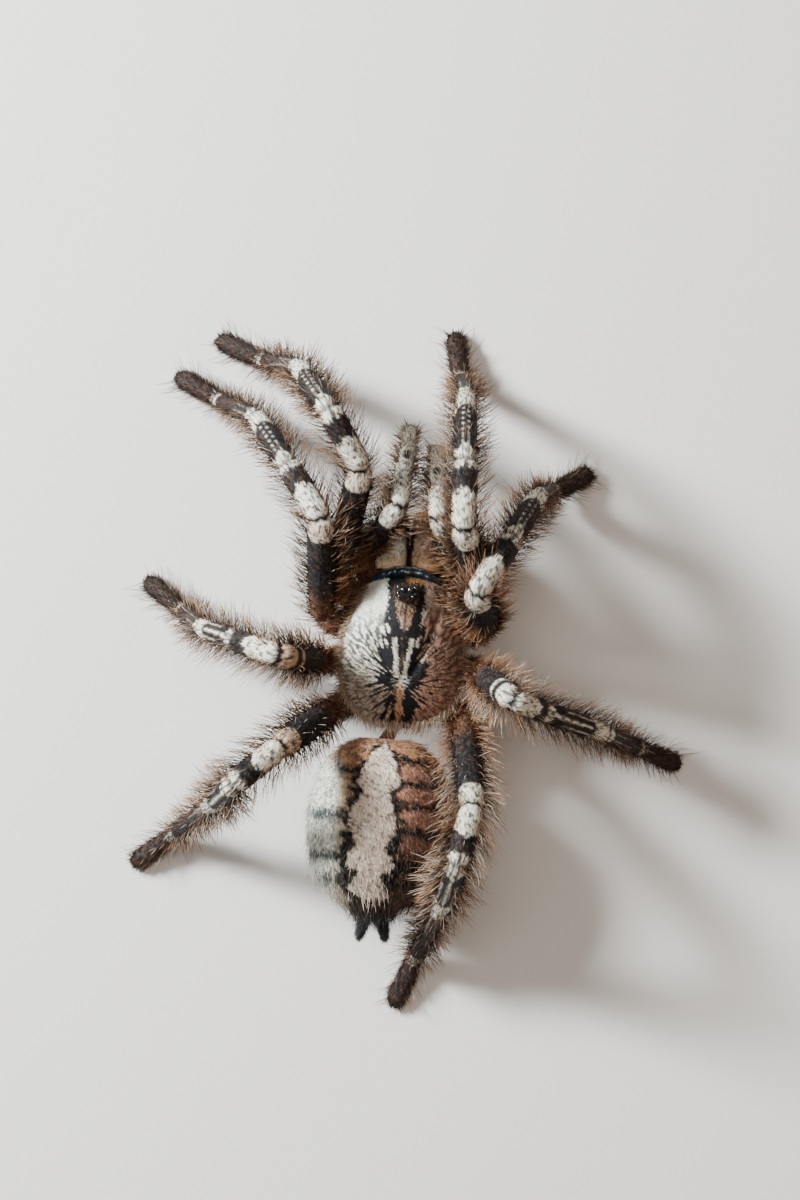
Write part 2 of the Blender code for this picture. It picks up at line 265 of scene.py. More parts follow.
legVelvet = velvetFinish("legVelvet", velvetLook)
bodyVelvet = velvetFinish("bodyVelvet", dict(velvetLook, streakDepth=0.5, bump=0.3))
shieldFinish = velvetFinish("shieldFinish", dict(velvetLook, streakDepth=0.45, roughness=0.6, bump=0.4))
tuftFinish = hairFinish("tuftHair", 0.5)
hornBlack = hornFinish("hornBlack", (0.012, 0.008, 0.008), 0.2, 0.6)
membraneFinish = hornFinish("membraneDark", (0.012, 0.024, 0.034), 0.24, 0.7)
moundFinish = hornFinish("moundDark", (0.005, 0.006, 0.007), 0.6, 0.0, 0.12)
lensFinish = hornFinish("eyeLens", (0.006, 0.006, 0.008), 0.05, 1.0)
print("finishes made")

ink = np.array((0.003, 0.0035, 0.005))
soot = np.array((0.012, 0.008, 0.007))
brown = np.array((0.085, 0.042, 0.025))
tan = np.array((0.36, 0.20, 0.11))
fawn = np.array((0.34, 0.195, 0.135))
rust = np.array((0.25, 0.095, 0.034))
cream = np.array((0.60, 0.55, 0.44))
white = np.array((0.80, 0.82, 0.73))
blush = np.array((0.50, 0.40, 0.33))
sage = np.array((0.46, 0.49, 0.43))
gold = np.array((0.36, 0.19, 0.075))
# slate blue: a random tone of some dark hairs, and painted sheen on dark hair
slateToneAndSheen = np.array((0.085, 0.10, 0.10))
lemon = np.array((0.62, 0.50, 0.10))


# Hairs

def hairKind(count, length, width, lift, curl, rings=1, flat=0.55, spread=0.3):
    # how one batch of hairs grows: number, lengths and width in millimetres, angles off the skin in
    # radians, bend back towards it, rings along the hair, flatness, and disorder of the lie
    return {"count": count, "length": length, "width": width, "lift": lift, "curl": curl,
            "rings": rings, "flat": flat, "spread": spread}


def growHairs(roots, along, normal, length, lift, curl, colour, tip, uvRoot, kind):
    # each hair is a closed three-sided spike; its middle runs out from the root at the lift angle and
    # bends back towards the skin by half the curl times the square of the share, narrowing to a point
    count, rings = len(roots), kind["rings"]
    side = unit(np.cross(normal, along))
    turn = np.array([0.5, 2.6, 4.7])
    sunk = 0.06  # how far the root sits in the skin
    points, shades, uvs = [], [], []
    for k in range(rings):
        s = k / rings
        run = length * s * np.cos(lift)
        rise = length * (s * np.sin(lift) - 0.5 * curl * s * s)
        middle = roots + along * run[:, None] + normal * (rise - sunk)[:, None]
        girth = kind["width"] * 0.5 * (1 - 0.75 * s**1.5)
        for angle in turn:
            out = side * np.cos(angle) + normal * np.sin(angle) * kind["flat"]
            points.append(middle + out * girth)
            shades.append(blend(colour, tip, np.full(count, s)))
            uvs.append(uvRoot + 0.0014 * np.array([np.cos(angle), np.sin(angle)]) * (1 - 0.6 * s))
    run = length * np.cos(lift)
    rise = length * (np.sin(lift) - 0.5 * curl)
    points.append(roots + along * run[:, None] + normal * (rise - sunk)[:, None])
    shades.append(np.broadcast_to(tip, (count, 3)))
    uvs.append(uvRoot)
    per = 3 * rings + 1
    pattern = [(0, 2, 1)]
    for k in range(rings - 1):
        for i in range(3):
            j = (i + 1) % 3
            a = 3 * k
            pattern += [(a + i, a + j, a + 3 + j), (a + i, a + 3 + j, a + 3 + i)]
    last = 3 * (rings - 1)
    pattern += [(last + i, last + (i + 1) % 3, per - 1) for i in range(3)]
    faces = (np.arange(count)[:, None, None] * per + np.array(pattern)).reshape(-1, 3)
    stack = lambda parts: np.stack(parts, 1).reshape(-1, parts[0].shape[-1])
    return stack(points), faces, stack(shades), stack(uvs)


def lay(direction, normal, rng, spread):
    # a direction pressed flat onto the surface, with some disorder
    loose = direction + rng.normal(size=direction.shape) * spread
    return unit(loose - normal * (loose * normal).sum(1, keepdims=True))


def sprout(place, rng, kind, base, tip, direction=None, length=None, lift=None, scale=1.0):
    # one batch of hairs at scattered places; what isn't given is drawn from the ranges of its kind
    root, along, normal, uv = place
    count = len(root)
    if direction is None:
        direction = lay(along, normal, rng, kind["spread"])
    if length is None:
        length = rng.uniform(*kind["length"], count) * scale
    if lift is None:
        lift = rng.uniform(*kind["lift"], count)
    curl = kind["curl"]
    curl = rng.uniform(*curl, count) if isinstance(curl, tuple) else np.full(count, curl)
    return growHairs(root, direction, normal, length, lift, curl, base, tip, uv, kind)


def joinHairs(name, batches):
    # several batches become one piece of coat
    points, faces, shades, uvs = zip(*batches)
    before = np.cumsum([0] + [len(p) for p in points[:-1]])
    faces = np.vstack([f + first for f, first in zip(faces, before)])
    points = np.vstack(points)
    points[:, 2] = np.maximum(points[:, 2], floorGap)
    addPiece(name, points, faces, tuftFinish, np.vstack(shades), None, np.vstack(uvs))


# Legs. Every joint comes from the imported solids: two neighbouring segments' axes meet there.

def cloudOf(name):
    # the corners of a solid, each one once
    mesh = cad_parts[name].data
    co = np.empty(len(mesh.vertices) * 3)
    mesh.vertices.foreach_get("co", co)
    return np.unique(np.round(co.reshape(-1, 3) / mm, 4), axis=0)


def axisOf(cloud, towards):
    # the line through the middles of a solid's two halves, found in three rounds from its longest
    # direction; returns the centre, the direction and how far the solid runs either way along it
    centre = cloud.mean(0)
    along = np.linalg.svd(cloud - centre)[2][0]
    for _ in range(3):
        t = (cloud - centre) @ along
        lo, hi = t.min(), t.max()
        near = cloud[(t > lo + 0.05 * (hi - lo)) & (t < lo + 0.5 * (hi - lo))].mean(0)
        far = cloud[(t < hi - 0.05 * (hi - lo)) & (t > lo + 0.5 * (hi - lo))].mean(0)
        along = unit(far - near)
        centre = (near + far) / 2
    if along @ towards < 0:
        along = -along
    t = (cloud - centre) @ along
    return centre, along, t.min(), t.max()


def meet(a, b):
    # the point nearest to both axes; axes that are nearly in line meet at their ends
    p, d = a[0], a[1]
    q, e = b[0], b[1]
    w = q - p
    k = d @ e
    s = ((w @ d) - (w @ e) * k) / (1 - k * k + 1e-9)
    t = ((w @ d) * k - (w @ e)) / (1 - k * k + 1e-9)
    if k > 0.985:
        s = a[3]
        t = b[2]
    return (p + d * s + q + e * t) / 2


shieldLow, shieldHigh = (np.array(v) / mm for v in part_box("carapace"))
bodyX = (shieldLow[0] + shieldHigh[0]) / 2
halfShield = 11.5  # half of the shield's length
bodyMid = np.array([bodyX, shieldHigh[1] - halfShield, 0.0])  # middle of the shield, on the floor

# half widths and half heights of each segment, from the body outwards
legGirth = {
    "coxa": ((1.9, 2.3, 2.3, 2.2, 2.1, 1.7), (1.9, 2.2, 2.2, 2.1, 2.0, 1.7)),
    "femur": ((1.55, 1.95, 2.3, 2.4, 2.25, 1.95), (1.65, 2.05, 2.55, 2.55, 2.35, 2.0)),
    "patella": ((1.85, 2.1, 2.15, 2.15, 2.1, 1.85), (1.85, 2.15, 2.25, 2.25, 2.15, 1.8)),
    "tibia": ((1.7, 1.95, 2.0, 1.95, 1.85, 1.6), (1.7, 1.95, 2.05, 2.0, 1.85, 1.6)),
    "metatarsus": ((1.45, 1.6, 1.6, 1.5, 1.5, 1.4), (1.45, 1.6, 1.6, 1.5, 1.45, 1.3)),
    "tarsus": ((1.3, 1.5, 1.65, 1.75, 1.7, 1.5), (1.2, 1.35, 1.35, 1.3, 1.2, 1.05)),
}
legLook = {
    "coatDepth": 0.25,  # how far the skin lies inside the solid
    "step": 0.24,  # spacing of the rings along the leg
    "sides": 44,
    "clearance": 0.3,  # height above the floor at which hairs stop
    "bend": 1.5,  # how far from a joint the bend starts
    "girthAt": (0.0, 0.1, 0.36, 0.7, 0.92, 1.0),  # shares of a segment at which its girths are given
    "fold": 0.16,  # how much narrower each joint is
    "stump": (0.36, 0.55),  # where the skin starts inside the body, as shares of the way to the hip
    "palpStump": (0.74, 0.58),
    # painted shade: share of tan in the pale band before the knee, for legs that lay in shade
    "shadedKnees": {"leg_l3": 0.75, "leg_l4": 0.65, "leg_l1": 0.35, "leg_l2": 0.35},
    "hipThicket": {"1": 1.5, "palp": 1.8},  # times as many hip hairs as on the other legs
    "sizes": {"1": 1.0, "2": 1.0, "3": 0.96, "4": 1.0, "palp": 0.82},
}
# numbers are per millimetre of leg, but for the hip
legHairs = {
    "tufts": hairKind(160, (0.5, 0.9), 0.12, (0.08, 0.3), 0.12, spread=0.14),
    "flank": hairKind(13, (1.0, 1.8), 0.1, (0.35, 0.8), (0.1, 0.5), 2, 0.8, 0.2),
    "sole": hairKind(80, (0.7, 1.5), 0.1, (0.5, 1.1), (0.0, 0.4), 2, 0.9, 0.3),
    "hip": hairKind(1100, (1.1, 2.3), 0.13, (0.4, 1.2), (0.1, 0.6), 2, 0.9, 0.35),
    "bristles": hairKind(20, (3.2, 6.6), 0.13, (0.75, 1.25), (0.2, 0.85), 3, 1.0, 0.2),
}


def legJoints(stem, kinds):
    # the stump, the hip, one joint where each two neighbouring axes meet, and the tip of the foot
    axes = []
    for kind in kinds:
        cloud = cloudOf(stem + "_" + kind)
        # every femur rises from its hip; the others lead away from the segment before
        towards = cloud.mean(0) - axes[-1][0] if axes else np.array([0, 0, 1.0])
        axes.append(axisOf(cloud, towards))
    first, last = axes[0], axes[-1]
    joints = [first[0] + first[1] * (first[2] + 0.6)]
    joints += [meet(a, b) for a, b in zip(axes[:-1], axes[1:])]
    joints.append(last[0] + last[1] * (last[3] - 0.2))
    hip = joints[0] - bodyMid
    # the stump inside the body, from which the skin starts
    shares = legLook["palpStump"] if stem.startswith("palp") else legLook["stump"]
    root = bodyMid + np.array([hip[0] * shares[0], hip[1] * shares[1], hip[2] - 1.8])
    return np.array([root] + joints)


def legPath(joints, kinds, bend, step):
    # straight runs joined by curves of the second degree; each station knows its segment and share
    spots, dirs, segs, shares, sides = [], [], [], [], []
    lengths = np.linalg.norm(np.diff(joints, axis=0), axis=1)
    heads = np.diff(joints, axis=0) / lengths[:, None]
    across = unit(np.cross(heads, np.array([0, 0, 1.0])))
    across[0] = unit(across[1] - heads[0] * (heads[0] @ across[1]))
    for i in range(len(lengths)):
        lo = bend if i else 0.0
        hi = lengths[i] - (bend if i < len(lengths) - 1 else 0.0)
        t = np.linspace(lo, hi, max(3, int((hi - lo) / step)))
        if i:
            t = t[1:]
        spots.append(joints[i] + heads[i] * t[:, None])
        dirs.append(np.repeat(heads[i][None], len(t), 0))
        segs.append(np.full(len(t), i))
        shares.append(t / lengths[i])
        sides.append(np.repeat(across[i][None], len(t), 0))
        if i < len(lengths) - 1:
            q = np.linspace(0, 1, 17)[1:, None]
            a = joints[i + 1] - heads[i] * bend
            b = joints[i + 1] + heads[i + 1] * bend
            spots.append(a * (1 - q) ** 2 + joints[i + 1] * 2 * q * (1 - q) + b * q**2)
            dirs.append(unit(heads[i] * (1 - q) + heads[i + 1] * q))
            sides.append(unit(across[i] * (1 - q) + across[i + 1] * q))
            q = q[:, 0]
            segs.append(np.where(q < 0.5, i, i + 1))
            before = 1 - bend / lengths[i] * (1 - 2 * q)
            after = bend / lengths[i + 1] * (2 * q - 1)
            shares.append(np.where(q < 0.5, before, after))
    spots, dirs, sides = np.vstack(spots), np.vstack(dirs), np.vstack(sides)
    segs, shares = np.concatenate(segs), np.concatenate(shares)
    sides = unit(sides - dirs * (sides * dirs).sum(1, keepdims=True))
    tops = np.cross(sides, dirs)
    run = np.concatenate([[0], np.cumsum(np.linalg.norm(np.diff(spots, axis=0), axis=1))])
    return {"spot": spots, "dir": dirs, "side": sides, "top": tops, "seg": segs, "share": shares,
            "run": run, "lengths": lengths, "kinds": kinds}


def legRadii(path, scale, depth):
    # half width and height along the leg: straight lines between the girths, eased over 5 rings, times a
    # bell that narrows each joint and a quarter circle that rounds the foot
    rings = legLook["girthAt"]
    wide = np.zeros(len(path["run"]))
    high = np.zeros(len(path["run"]))
    for i, kind in enumerate(path["kinds"]):
        here = path["seg"] == i
        wide[here] = np.interp(path["share"][here], rings, legGirth[kind][0])
        high[here] = np.interp(path["share"][here], rings, legGirth[kind][1])
    box = np.ones(5) / 5
    ease = lambda v: np.convolve(np.pad(v, 2, mode="edge"), box, "valid")
    wide, high = ease(wide) * scale - depth, ease(high) * scale - depth
    fromJoint = np.minimum(path["share"], 1 - path["share"]) * path["lengths"][path["seg"]]
    inner = (path["run"] > 3) & (path["run"] < path["run"][-1] - 2)
    fold = 1 - legLook["fold"] * np.exp(-((fromJoint / 0.33) ** 2)) * inner
    toe = np.sqrt(np.clip(1 - (1 - np.clip((path["run"][-1] - path["run"]) / 2.0, 0, 1)) ** 2, 0.02, 1))
    return wide * fold * toe, high * fold * toe


legMarks = {
    # where the pale bands of each segment begin or end, as shares of its length
    "patellaBase": {"palp": 0.9, "3": 0.62, "other": 0.53},
    "patellaTip": {"other": 0.87},
    "tibiaBase": {"palp": 0.34, "other": 0.13},
    "tibiaTip": {"palp": 0.6, "other": 0.71},
    "metatarsusBase": {"other": 0.08},
    "metatarsusTip": {"other": 0.87},
    "tarsusBase": {"palp": 0.78, "other": 0.06},
    "femurEnd": {"palp": 3.6, "3": 4.7, "other": 3.1},  # this one is millimetres from the knee
    "femurRing": {"other": 3.15},  # and so is the dark ring on the third legs
    "flash": {"other": 0.55},  # middle of the yellow flash under the first two legs
}


def legBands(leg, kind, g, back, upper, ahead, along):
    # how pale and how warm a segment is: smooth steps and bells in the share g of its length, the angle
    # back from the leg's upper midline, and the millimetres ahead to its end and along the leg
    at = {name: value.get(leg, value["other"]) for name, value in legMarks.items()}
    a = np.abs(back)
    if kind == "coxa":
        return np.full(g.shape, 0.05), np.full(g.shape, 0.95)
    if kind == "femur":
        pale = soft(-ahead, -at["femurEnd"], 0.35)
        if leg == "3":
            pale = pale * (1 - 0.98 * np.exp(-(((ahead - at["femurRing"]) / 0.78) ** 6)))
        return pale * (0.1 + 0.9 * upper), (1 - soft(g, 0.24, 0.3)) * 0.9 + 0.3 * soft(a, 1.4, 0.6)
    if kind == "patella":
        pale = 1 - soft(g, at["patellaBase"] + 0.05 * np.cos(3 * back), 0.03)
        if leg != "3":
            apex = soft(g, at["patellaTip"], 0.03) * (1 - 0.85 * hump(a, 0.0, 0.14))
            pale = np.maximum(pale, apex)
        return pale * (0.1 + 0.9 * upper), 0.4 * soft(a, 1.0, 0.7)
    if kind == "tibia" and leg == "palp":
        base = 1 - soft(g, at["tibiaBase"], 0.05)
        apex = soft(g, at["tibiaTip"], 0.05)
        stripe = 0.9 * hump(a, 0.7, 0.3)
    elif kind == "tibia":
        base = 1 - soft(g, at["tibiaBase"] + 0.04 * np.cos(4 * back), 0.03)
        base = base * (1 - 0.85 * hump(a, 0.28, 0.1))
        apex = soft(g, at["tibiaTip"] + 0.05 * np.cos(2 * back), 0.03)
        if leg in ("3", "4"):
            stripe = hump(a, 0.0, 0.13) * soft(g, 0.14, 0.04)
            stripe = stripe + 0.8 * hump(a, 0.75, 0.09) * soft(g, 0.3, 0.04)
        else:
            # two rows of dots, fainter on one side, that start from a line
            dots = soft(np.sin(along * 5.0 + np.sign(back)), 0.1, 0.7) * np.where(back > 0, 1.0, 0.65)
            stripe = hump(a, 0.24, 0.085) * dots * soft(g, 0.26, 0.04)
            stripe = np.maximum(stripe, 0.7 * hump(a, 0.24, 0.06) * (1 - soft(g, 0.3, 0.1)))
        stripe = stripe * (1 - soft(g, 0.7, 0.04))
    elif kind == "metatarsus":
        base = (1 - soft(g, at["metatarsusBase"], 0.03)) * 0.85
        apex = 0.85 * soft(g, at["metatarsusTip"], 0.03)
        stripe = 0.35 * hump(a, 0.4, 0.09) * soft(g, 0.1, 0.05) * (1 - soft(g, 0.4, 0.1))
        pale = np.maximum.reduce([base, apex, stripe]) * (0.2 + 0.8 * upper)
        return pale, np.full(g.shape, 0.2)
    else:
        most, width = (0.95, 0.25) if leg == "palp" else (0.4, 0.05)
        return most * (1 - soft(g, at["tarsusBase"], width)), np.full(g.shape, 0.2)
    return np.maximum.reduce([base, apex, stripe]) * (0.1 + 0.9 * upper), 0.25 * soft(a, 1.2, 0.6)


def legColour(leg, seg, share, turn, place):
    # the bands, made ragged by ripples that run along the leg, then dark joint lines that sag towards the
    # foot by a cosine; turn is a quarter turn on the leg's upper side
    name, kinds, lengths = leg["name"], leg["kinds"], leg["lengths"]
    back = (turn - np.pi / 2 + np.pi) % (2 * np.pi) - np.pi  # angle away from the upper midline
    away = np.abs(back)
    upper = soft(-away, -1.9, 0.6)
    along = np.concatenate([[0], np.cumsum(lengths)])[seg] + share * lengths[seg]
    lined = np.stack([along * 0.26, np.cos(turn) * 2.6, np.sin(turn) * 2.6], -1)
    streak = ripple(lined, 0.42, 3)
    fine = ripple(place, 0.45, 5)
    grain = ripple(place, 0.9, 6)
    sag = 0.55 * (1 - np.cos(np.minimum(away, 1.6))) + 0.12 * np.cos(5 * back)
    past = share * lengths[seg] - sag
    ahead = (1 - share) * lengths[seg] + sag
    f = share + (0.2 * streak + 0.06 * fine) / lengths[seg]
    pale, warm, yellow = np.zeros((3, len(share)))
    for i, kind in enumerate(kinds):
        here = seg == i
        parts = [v[here] for v in (f, back, upper, ahead, along)]
        pale[here], warm[here] = legBands(name, kind, *parts)
        if name in ("1", "2") and kind in ("femur", "patella", "tibia"):
            flash = soft(-np.abs(f[here] - legMarks["flash"]["other"]), -0.22, 0.16)
            yellow[here] = soft(away[here], 2.5, 0.6) * flash
    jointEnd = (seg > 0) & (seg < len(kinds) - 1)
    gap = np.minimum(np.where(seg > 1, np.abs(past), 9), np.where(jointEnd, ahead, 9))
    line = np.exp(-(((gap + 0.06 * fine) / 0.27) ** 4)) * soft(-away, -1.7, 0.4)
    knee = (seg == 1) | ((seg == 2) & (share < 0.5))
    line = line * np.where(knee, 1.0, 0.7)
    dark = blend(ink, soot, 0.5 + 0.4 * grain)
    dark = blend(dark, brown, warm * 0.8 + 0.5 * soft(streak + 0.4 * grain, 0.9, 0.5))
    # painted sheen: slate-blue glinting streaks on the upper side of the dark bands
    dark = blend(dark, slateToneAndSheen, 0.3 * soft(fine - 0.6 * streak, 1.3, 0.6) * upper)
    rusty = warm * ((seg == 1) & (share < 0.5) | (seg == 0))
    dark = blend(dark, rust * 0.7, 0.3 * rusty * (1 + 0.6 * streak))
    light = blend(cream, white, 0.45 + 0.3 * grain)
    # painted shade: the pale bands turn tan towards the leg's flanks, more on the rear legs, and before the
    # knee of some legs more so
    shady = soft(away, 1.0, 0.7) * (0.8 if name in ("3", "4") else 0.7)
    shady = np.maximum(shady, legLook["shadedKnees"].get(leg["stem"], 0.0) * (seg == 1))
    light = blend(light, tan * 1.2, 0.06 + shady + 0.1 * fine)
    speck = soft(streak + 0.3 * fine, 0.8, 0.4) * 0.85
    colour = blend(dark, light, pale * (1 - speck))
    colour = blend(colour, lemon * 0.8, np.clip(yellow * (0.6 + 0.25 * streak), 0, 0.85))
    return blend(colour, ink * 0.7, line)


def measureLeg(stem, name):
    # everything that the later steps need to know about one leg
    kinds = [k for k in legGirth if not (name == "palp" and k == "metatarsus")]
    scale = legLook["sizes"][name]
    joints = legJoints(stem, kinds[1:])
    leg = legPath(joints, kinds, legLook["bend"] * scale, legLook["step"])
    wide, high = legRadii(leg, scale, legLook["coatDepth"])
    return dict(leg, stem=stem, name=name, scale=scale, tip=joints[-1], wide=wide, high=high)


def ovalRing(spot, side, top, wide, high, turn):
    # cosine to the side and sine upwards about the path
    return spot + side * (np.cos(turn) * wide)[..., None] + top * (np.sin(turn) * high)[..., None]


def legSkin(leg):
    # one skin over all segments: an oval ring at every station, in the same colours as its coat
    sides = legLook["sides"]
    wide, high = leg["wide"][:, None], leg["high"][:, None]
    turn = np.broadcast_to(fullTurn(sides), (len(wide), sides))
    rings = ovalRing(*(leg[key][:, None] for key in ("spot", "side", "top")), wide, high, turn)
    rings[..., 2] = np.maximum(rings[..., 2], floorGap)
    seg, share = (np.repeat(leg[key], sides) for key in ("seg", "share"))
    colour = legColour(leg, seg, share, turn.ravel(), rings.reshape(-1, 3)).reshape(rings.shape)
    # the streaks are five times as long as they are wide
    along = np.broadcast_to((leg["run"] * 0.32)[:, None], turn.shape)
    flow = np.stack([along, np.cos(turn) * wide * 1.6, np.sin(turn) * high * 1.6], -1)
    nodes = [leg["stem"] + "_" + kind for kind in leg["kinds"][1:]]
    addPiece(leg["stem"] + "_skin", closeTube(rings), tubeFaces(*turn.shape), legVelvet, closeTube(colour),
             closeTube(flow), None, nodes)


def legPlaces(leg, rng, n, weight):
    # n places at random distances along the leg and angles round it; the weight depends on the share of
    # the leg, the angle from its upper side and the segment
    total = leg["run"][-1]
    at = rng.uniform(leg["lengths"][0] * 0.3, total - 0.15, 5 * n)
    turn = rng.uniform(0, 2 * np.pi, 5 * n)
    k = np.searchsorted(leg["run"], at).clip(1, len(leg["run"]) - 1)
    off = np.abs((turn + np.pi / 2) % (2 * np.pi) - np.pi)
    keep = rng.uniform(0, 1, 5 * n) < weight(at / total, off, leg["seg"][k])
    at, turn, k, off = (v[keep][:n] for v in (at, turn, k, off))
    q = (at - leg["run"][k - 1]) / (leg["run"][k] - leg["run"][k - 1])

    def mix(key):
        # straight between two stations
        v = leg[key]
        r = q if v.ndim == 1 else q[:, None]
        return v[k - 1] * (1 - r) + v[k] * r

    seg = leg["seg"][k]
    share = np.where(leg["seg"][k - 1] == seg, mix("share"), leg["share"][k])
    wide, high, across, top = (mix(key) for key in ("wide", "high", "side", "top"))
    root = ovalRing(mix("spot"), across, top, wide, high, turn)
    normal = unit(across * (np.cos(turn) / wide)[:, None] + top * (np.sin(turn) / high)[:, None])
    uv = np.stack([at / total, turn / 6.2832], -1) * 0.96 + 0.02
    clear = root[:, 2] > legLook["clearance"]
    place = tuple(v[clear] for v in (root, mix("dir"), normal, uv))
    return [v[clear] for v in (at, turn, off, seg, share)] + [place]


def aboveFloor(length, place, lift):
    # hairs that point down stop short of the floor
    root, normal = place[0], place[2]
    room = (root[:, 2] - legLook["clearance"]) / np.maximum(np.sin(lift) * -normal[:, 2], 0.1)
    return np.where(normal[:, 2] < -0.1, np.clip(length, 0, room), length)


def shortCoat(leg, rng):
    # tufts that lie towards the foot; none lies across a joint line
    kind = legHairs["tufts"]
    n = int(kind["count"] * leg["run"][-1] * leg["scale"])
    at, turn, off, seg, share, place = legPlaces(leg, rng, n, lambda a, o, s: 1 - 0.4 * soft(o, 1.9, 0.6))
    length = rng.uniform(*kind["length"], len(at)) * np.where(seg == len(leg["kinds"]) - 1, 0.8, 1.0)
    sag = 0.55 * (1 - np.cos(np.minimum(off, 1.6)))
    lines = leg["run"][np.flatnonzero(np.diff(leg["seg"])) + 1]
    toLine = lines[None] + sag[:, None] - 0.25 - at[:, None]
    room = np.where(toLine > 0, toLine, 99.0).min(1)
    length = np.minimum(length, np.maximum(room, 0.15))
    bare = (np.abs(toLine + 0.25).min(1) < 0.24) & (off < 1.6)
    length = np.where(bare, 0.12, length)
    along = lay(place[1], place[2], rng, kind["spread"])
    halfWay = np.minimum(share + 0.4 * length / leg["lengths"][seg], 1)
    shade = legColour(leg, seg, halfWay, turn, place[0]) * rng.uniform(0.7, 1.25, (len(at), 1))
    return sprout(place, rng, kind, shade, shade * 1.12, along, length)


def flankHairs(leg, rng):
    # middling hairs on the flanks and below, and all over the hip
    kind = legHairs["flank"]

    def weight(a, o, s):
        return np.where(s == 0, 1.0, 0.04 + 0.96 * soft(o, 1.25, 0.5)) * (1 - 0.5 * soft(a, 0.85, 0.2))

    n = int(kind["count"] * leg["run"][-1] * leg["scale"])
    at, turn, off, seg, share, place = legPlaces(leg, rng, n, weight)
    base = legColour(leg, seg, share, turn, place[0])
    tip = blend(base, tan, rng.uniform(0.0, 0.35, len(at)))
    length = rng.uniform(*kind["length"], len(at)) * np.where(seg == len(leg["kinds"]) - 1, 0.6, 1.0)
    lift = rng.uniform(*kind["lift"], len(at))
    return sprout(place, rng, kind, base, tip, None, aboveFloor(length, place, lift), lift)


def footBrush(leg, rng):
    # the brush of short hairs round the foot
    kind = legHairs["sole"]
    foot = leg["lengths"][-1] + 4
    n = int(kind["count"] * foot * leg["scale"])
    start = 1 - foot / leg["run"][-1]

    def weight(a, o, s):
        return soft(a, start, 0.06) * (0.25 + 0.75 * soft(o, 0.9, 0.6)) * 0.5

    place = tuple(v[:n] for v in legPlaces(leg, rng, n * 8, weight)[-1])
    count = len(place[0])
    darker, lighter = (tan, cream) if leg["name"] == "palp" else (soot, brown)
    tint = blend(darker, lighter, rng.uniform(0, 1, count))
    lift = rng.uniform(*kind["lift"], count)
    length = aboveFloor(rng.uniform(*kind["length"], count), place, lift)
    return sprout(place, rng, kind, tint * 0.6, tint, None, length, lift)


def hipThicket(leg, rng):
    # longer hairs that close the gaps between neighbouring hips
    kind = legHairs["hip"]
    end = (leg["lengths"][0] + 3.5) / leg["run"][-1]
    dense = legLook["hipThicket"].get(leg["name"], 1.0)
    n = int(kind["count"] * leg["scale"] * dense)
    place = legPlaces(leg, rng, n, lambda a, o, s: soft(-a, -end, 0.05))[-1]
    tint = blend(brown * 1.2, rust, rng.uniform(0, 1, len(place[0])) ** 1.5)
    return sprout(place, rng, kind, tint * 0.4, tint, scale=dense**0.4)


def legBristles(leg, rng):
    # long curved bristles, thickest along both sides and thinning towards the foot
    kind = legHairs["bristles"]
    rear = leg["name"] in ("3", "4")

    def weight(a, o, s):
        sides = 0.07 + np.sin(np.minimum(o, 3.1)) ** 4
        return sides * (1 - 0.75 * soft(a, 0.86, 0.2)) * np.where(s == 0, 0.6, 1.0)

    n = int(kind["count"] * leg["run"][-1] * leg["scale"])
    at, turn, off, seg, share, place = legPlaces(leg, rng, n, weight)
    count = len(at)
    length = rng.uniform(*kind["length"], count) * (1 - 0.5 * np.clip(np.sin(turn), 0, 1) ** 2)
    length = length * leg["scale"] * np.where(seg >= len(leg["kinds"]) - 2, 0.8, 1)
    length = length * np.where(seg == 0, 0.55, 1) * (1.15 if rear else 1.0)
    lift = rng.uniform(*kind["lift"], count)
    length = aboveFloor(length, place, lift)
    rusty = np.exp(-(((at - leg["lengths"][0]) / 8.0) ** 2)) + 0.5 * ((seg == 2) & (share < 0.4))
    rusty = np.clip(0.8 * (rusty + rng.uniform(-0.5, 0.2, count)), 0, 1)
    base = blend(soot, rust * 0.7, rusty)
    tip = blend(brown * 1.2, tan * (1.5 if rear else 1.2), rng.uniform(0, 1, count))
    tip = blend(tip, cream, (rng.uniform(0, 1, count) < (0.3 if rear else 0.15)) * 0.8)
    tip = blend(tip, rust * 1.3, 0.6 * rusty)
    return sprout(place, rng, kind, base, tip, None, length, lift)


legs = []
for side in "lr":
    for name in legLook["sizes"]:
        leg = measureLeg(("palp_" + side) if name == "palp" else ("leg_" + side + name), name)
        legSkin(leg)
        rng = np.random.default_rng(40 + len(legs))
        batches = (shortCoat, flankHairs, footBrush, hipThicket, legBristles)
        joinHairs(leg["stem"] + "_coat", [batch(leg, rng) for batch in batches])
        legs.append(leg)

# a pair of small hooked claws at the tip of each leg, and one on each palp:
# thinning tubes that run straight ahead and drop with the square of the distance
clawLook = {"length": 0.75, "drop": 0.28, "apart": 0.28, "girth": 0.09, "clearance": 0.03}
rows, sides = 10, 8
hooks = []
for leg in legs:
    ahead, across = leg["dir"][-1], leg["side"][-1]
    flat = unit(ahead * np.array([1, 1, 0.3]))
    for lean in ((0.0,) if leg["name"] == "palp" else (-1.0, 1.0)):
        s = np.linspace(0, 1, rows)[:, None, None]
        turn = fullTurn(sides)[None, :, None]
        middle = leg["tip"] - ahead * 0.25 + across * lean * clawLook["apart"]
        middle = middle + flat * clawLook["length"] * s - np.array([0, 0, clawLook["drop"]]) * s**2
        girth = clawLook["girth"] * (1 - 0.85 * s)
        hooks.append(middle + (across * np.cos(turn) + np.array([0, 0, 1.0]) * np.sin(turn)) * girth)
hookPoints = np.vstack([closeTube(h) for h in hooks])
hookPoints[:, 2] = np.maximum(hookPoints[:, 2], clawLook["clearance"])
hookFaces = np.vstack([tubeFaces(rows, sides) + (rows * sides + 2) * k for k in range(len(hooks))])
addPiece("claws", hookPoints, hookFaces, hornBlack)
print("legs made")

# Body. Its shapes are stacks of rings; hairs are scattered over the cells between them by area.

